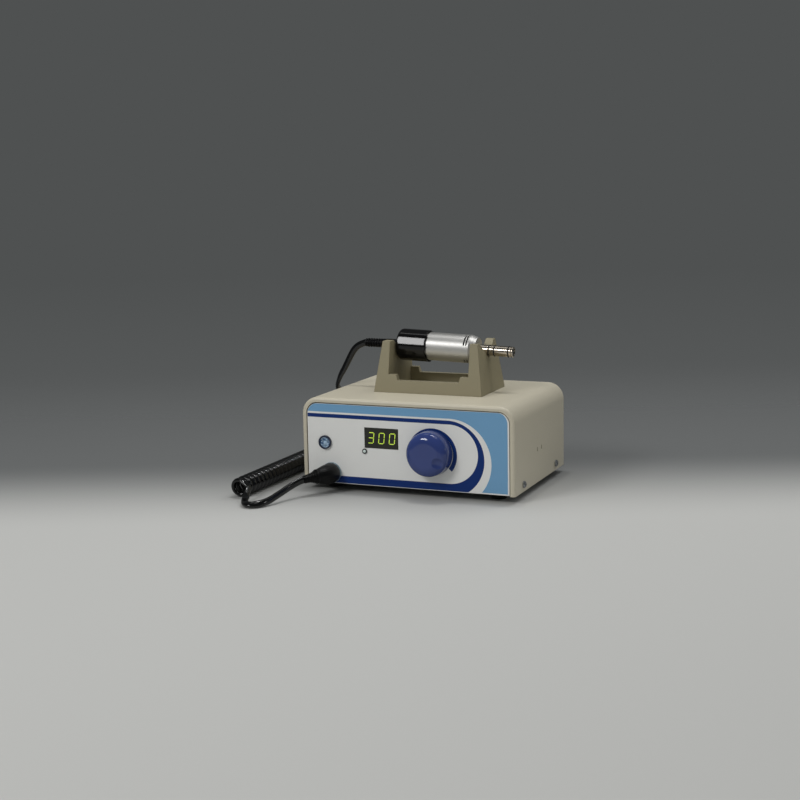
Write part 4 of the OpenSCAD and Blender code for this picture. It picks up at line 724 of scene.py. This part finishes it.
dress(abs_beige, "top_cover")
dress(screw_zinc, "cover_screws")

# Cradle
# A putty-coloured moulding screwed to the cover from inside: two notched walls that the handpiece lies
# in, and two low rails between them.

# Moulded ABS with a coarse matt etch of about 0.6 mm that dulls it all over.
abs_putty = finish("etched_abs_putty", "#958d72", 0.5, 0.6, 0.04, shade=0.05, cloud=30.0, edge=0.9)
dress(abs_putty, "cradle")

# Handpiece
# The motor's tube is turned aluminium, satin anodised, with vents cut round its front. A black cap with
# flats closes its rear, and the ground nose with its three rings takes the attachment.

# Satin anodised aluminium: pale, with turning lines round the tube drawn 0.5 mm apart.
satin = finish("satin_anodised_aluminium", "#cac9c6", 0.46, 0.5, 0.002, shade=0.02, gloss=0.04, cloud=25.0,
               lines=(1.0, 0.03, 0.03), edge=0.25, Metallic=1.0)
# Polished black cap, injection moulded, as glossy as piano lacquer.
cap_black = finish("polished_phenolic_black", "#09090a", 0.1, 2.5, 0.0006, shade=0.2, gloss=0.03, edge=1.2,
                   Specular_IOR_Level=0.35)
# Hard chrome on ground steel, bright, with the faintest rings from the wheel.
chrome = finish("hard_chrome", "#bdb4a6", 0.2, 0.4, 0.0015, shade=0.03, gloss=0.04, lines=(1.0, 0.03, 0.03),
                edge=0.15, Metallic=1.0)
motor_middle = (0.003, 0.0022, 0.1135)
motor_tilt = math.radians(2)
motor_way = (math.cos(motor_tilt), 0.0, -math.sin(motor_tilt))


def paint_shade_inside(material, inner, outer):
    """Paints shade into the metal's colour: dull and dark inside a radius about the motor's axis, rising to
    its own colour by an outer radius, both given in millimetres.
    """
    tree = material.node_tree
    shader = tree.nodes["Principled BSDF"]
    place = add(tree, "ShaderNodeTexCoord").outputs["Object"]
    arm = add(tree, "ShaderNodeVectorMath", {0: place, 1: motor_middle}, operation="SUBTRACT")
    turned_arm = add(tree, "ShaderNodeVectorMath", {0: arm.outputs["Vector"], 1: motor_way},
                     operation="CROSS_PRODUCT")
    radius = add(tree, "ShaderNodeVectorMath", {0: turned_arm.outputs["Vector"]}, operation="LENGTH")
    bright = add(tree, "ShaderNodeMapRange", {"Value": radius.outputs["Value"], "From Min": 0.001 * inner,
                                              "From Max": 0.001 * outer})
    paint = shader.inputs["Base Color"].links[0].from_socket
    shaded = add(tree, "ShaderNodeMix", {0: bright.outputs["Result"], 6: linear("#0b0b0b"), 7: paint},
                 data_type="RGBA")
    tree.links.new(shaded.outputs[2], shader.inputs["Base Color"])


# The nose cone has the same finish all over. The tube gets painted shade inside, where the vents show its cut
# walls, for the shade deep in the slots.
satin_cone = satin.copy()
satin_cone.name = "satin_anodised_cone"
shade_full_radius = 10.6
shade_end_radius = 11.6
paint_shade_inside(satin, shade_full_radius, shade_end_radius)
# Sintered ferrite of the magnets and pressed carbon of the brushes, both dull and gritty.
ferrite = finish("sintered_ferrite", "#48484b", 0.6, 0.5, 0.05)
carbon = finish("pressed_carbon", "#252527", 0.55, 0.3, 0.03)
dress(satin, "motor_housing")
dress(satin_cone, "nose_cone")
dress(cap_black, "rear_cap")
dress(chrome, "coupling_nose")
dress(rubber, "coupling_rings")
dress(pvc_soft, "strain_relief")
dress(ferrite, "motor_magnets")
dress(carbon, "brushes")
# The relief's discs are rounded over, as a soft moulding's are, and thin only at its end.
relief_root = Vector((-32.08, 2.2, 114.72))
relief_way = (relief_end - relief_root).normalized()
relief_long = (relief_end - relief_root).length
relief_ribs_count = 9
rib_apart = 2.333
rib_from_end = 0.75
end_girth = 3.0
relief_girth = 3.3
relief_rib_share = 0.17
relief_rings = []
for k in range(relief_ribs_count):
    along = relief_long - rib_from_end - rib_apart * k
    relief_rings.append((relief_root + along * relief_way, relief_way, relief_girth if k else end_girth))
relief_ribs = ribbed("relief_ribs", relief_rings, relief_rib_share)
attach(relief_ribs, "handpiece")

# Floor and light
# A pale floor with painted shade that darkens it behind the unit, for the light falling off there, and that
# fades into the grey backdrop; broad lights above, in front and behind, four small lamps, and an even room.
# None belongs to the object.

floor_reach = 6
floor_mesh = bpy.data.meshes.new("floor")
floor_corners = [(-floor_reach, -floor_reach, 0), (floor_reach, -floor_reach, 0),
                 (floor_reach, floor_reach, 0), (-floor_reach, floor_reach, 0)]
floor_mesh.from_pydata(floor_corners, [], [(0, 1, 2, 3)])
floor = bpy.data.objects.new("floor", floor_mesh)
bpy.context.collection.objects.link(floor)
paper = bpy.data.materials.new("matt_paper_pale")
paper.use_nodes = True
tree = paper.node_tree
shader = tree.nodes["Principled BSDF"]
shader.inputs["Roughness"].default_value = 0.7
shader.inputs["Specular IOR Level"].default_value = 0.2
place = add(tree, "ShaderNodeTexCoord").outputs["Object"]
# Painted shade: the paper's colour goes from pale to grey with the depth behind the unit along the view, for
# the light falling off there.
depth = add(tree, "ShaderNodeVectorMath", {0: place, 1: (-back.x, -back.y, 0)}, operation="DOT_PRODUCT")
painted_falloff = add(tree, "ShaderNodeMapRange", {"Value": depth.outputs["Value"], "From Min": -0.15, "From Max": 0.09},
           interpolation_type="SMOOTHSTEP")
tone = add(tree, "ShaderNodeMix", {0: painted_falloff.outputs["Result"], 6: linear("#c6c6c3"), 7: linear("#6f7171")},
           data_type="RGBA")
tree.links.new(tone.outputs[2], shader.inputs["Base Color"])
fade = add(tree, "ShaderNodeMapRange", {"Value": depth.outputs["Value"], "From Min": 0.05, "From Max": 0.7},
           interpolation_type="SMOOTHSTEP")
beyond = add(tree, "ShaderNodeBsdfTransparent")
paper_end = add(tree, "ShaderNodeMixShader", {0: fade.outputs["Result"], 1: shader.outputs["BSDF"],
                                              2: beyond.outputs["BSDF"]})
tree.links.new(paper_end.outputs["Shader"], tree.nodes["Material Output"].inputs["Surface"])
floor_mesh.materials.append(paper)

sky = bpy.data.worlds.new("studio")
bpy.context.scene.world = sky
sky.use_nodes = True
tree = sky.node_tree
tree.nodes.clear()
look = add(tree, "ShaderNodeTexCoord").outputs["Generated"]
height = add(tree, "ShaderNodeSeparateXYZ", {"Vector": look}).outputs["Z"]
share = add(tree, "ShaderNodeMapRange", {"Value": height, "From Min": -0.1, "From Max": 0.9})
room = add(tree, "ShaderNodeMix", {0: share.outputs["Result"], 6: linear("#545656"), 7: linear("#b4b5b5")},
           data_type="RGBA")
rise_share = add(tree, "ShaderNodeMapRange", {"Value": height, "From Min": -0.2, "From Max": -0.08})
backdrop = add(tree, "ShaderNodeMix", {0: rise_share.outputs["Result"], 6: linear("#5b5d5d"),
                                       7: linear("#4f5151")}, data_type="RGBA")
rays = add(tree, "ShaderNodeLightPath")
mirrored = add(tree, "ShaderNodeMath", {0: rays.outputs["Is Glossy Ray"],
                                        1: rays.outputs["Is Transmission Ray"]}, operation="MAXIMUM")
shown = add(tree, "ShaderNodeMath", {0: rays.outputs["Is Camera Ray"], 1: mirrored.outputs[0]},
            operation="MAXIMUM")
seen = add(tree, "ShaderNodeMix", {0: shown.outputs[0], 6: room.outputs[2], 7: backdrop.outputs[2]},
           data_type="RGBA")
light = add(tree, "ShaderNodeBackground", {"Color": seen.outputs[2], "Strength": 1.0})
add(tree, "ShaderNodeOutputWorld", {"Surface": light.outputs["Background"]})

# Each lamp has its place, width, height and watts, and looks at the middle of the unit
lamp_aim = Vector((0, 0, 0.05))
for name, place, width, high, watts in (
        ("broad_light", (0.3, 0.05, 1.3), 0.7, 0.5, 1.4),
        ("front_light", (-0.72, -1.42, 1.16), 0.62, 0.36, 11.0),
        ("left_lamp", (-0.04, 0.08, 1.23), 0.07, 0.07, 1.5),
        ("right_lamp", (0.14, 0.11, 1.22), 0.06, 0.06, 1.2),
        ("side_lamp", (1.12, 0.11, 0.36), 0.06, 0.06, 0.3),
        ("back_light", (0.45, 0.6, 1.05), 0.4, 0.4, 1.4),
        ("nose_lamp", (-0.4, 0.16, 1.22), 0.3, 0.3, 0.4)):
    lamp = bpy.data.lights.new(name, "AREA")
    lamp.shape = "RECTANGLE"
    lamp.size = width
    lamp.size_y = high
    lamp.energy = watts
    holder = bpy.data.objects.new(name, lamp)
    holder.location = place
    holder.rotation_euler = (lamp_aim - Vector(place)).to_track_quat("-Z", "Y").to_euler()
    bpy.context.collection.objects.link(holder)
bpy.context.scene.view_settings.view_transform = "Standard"
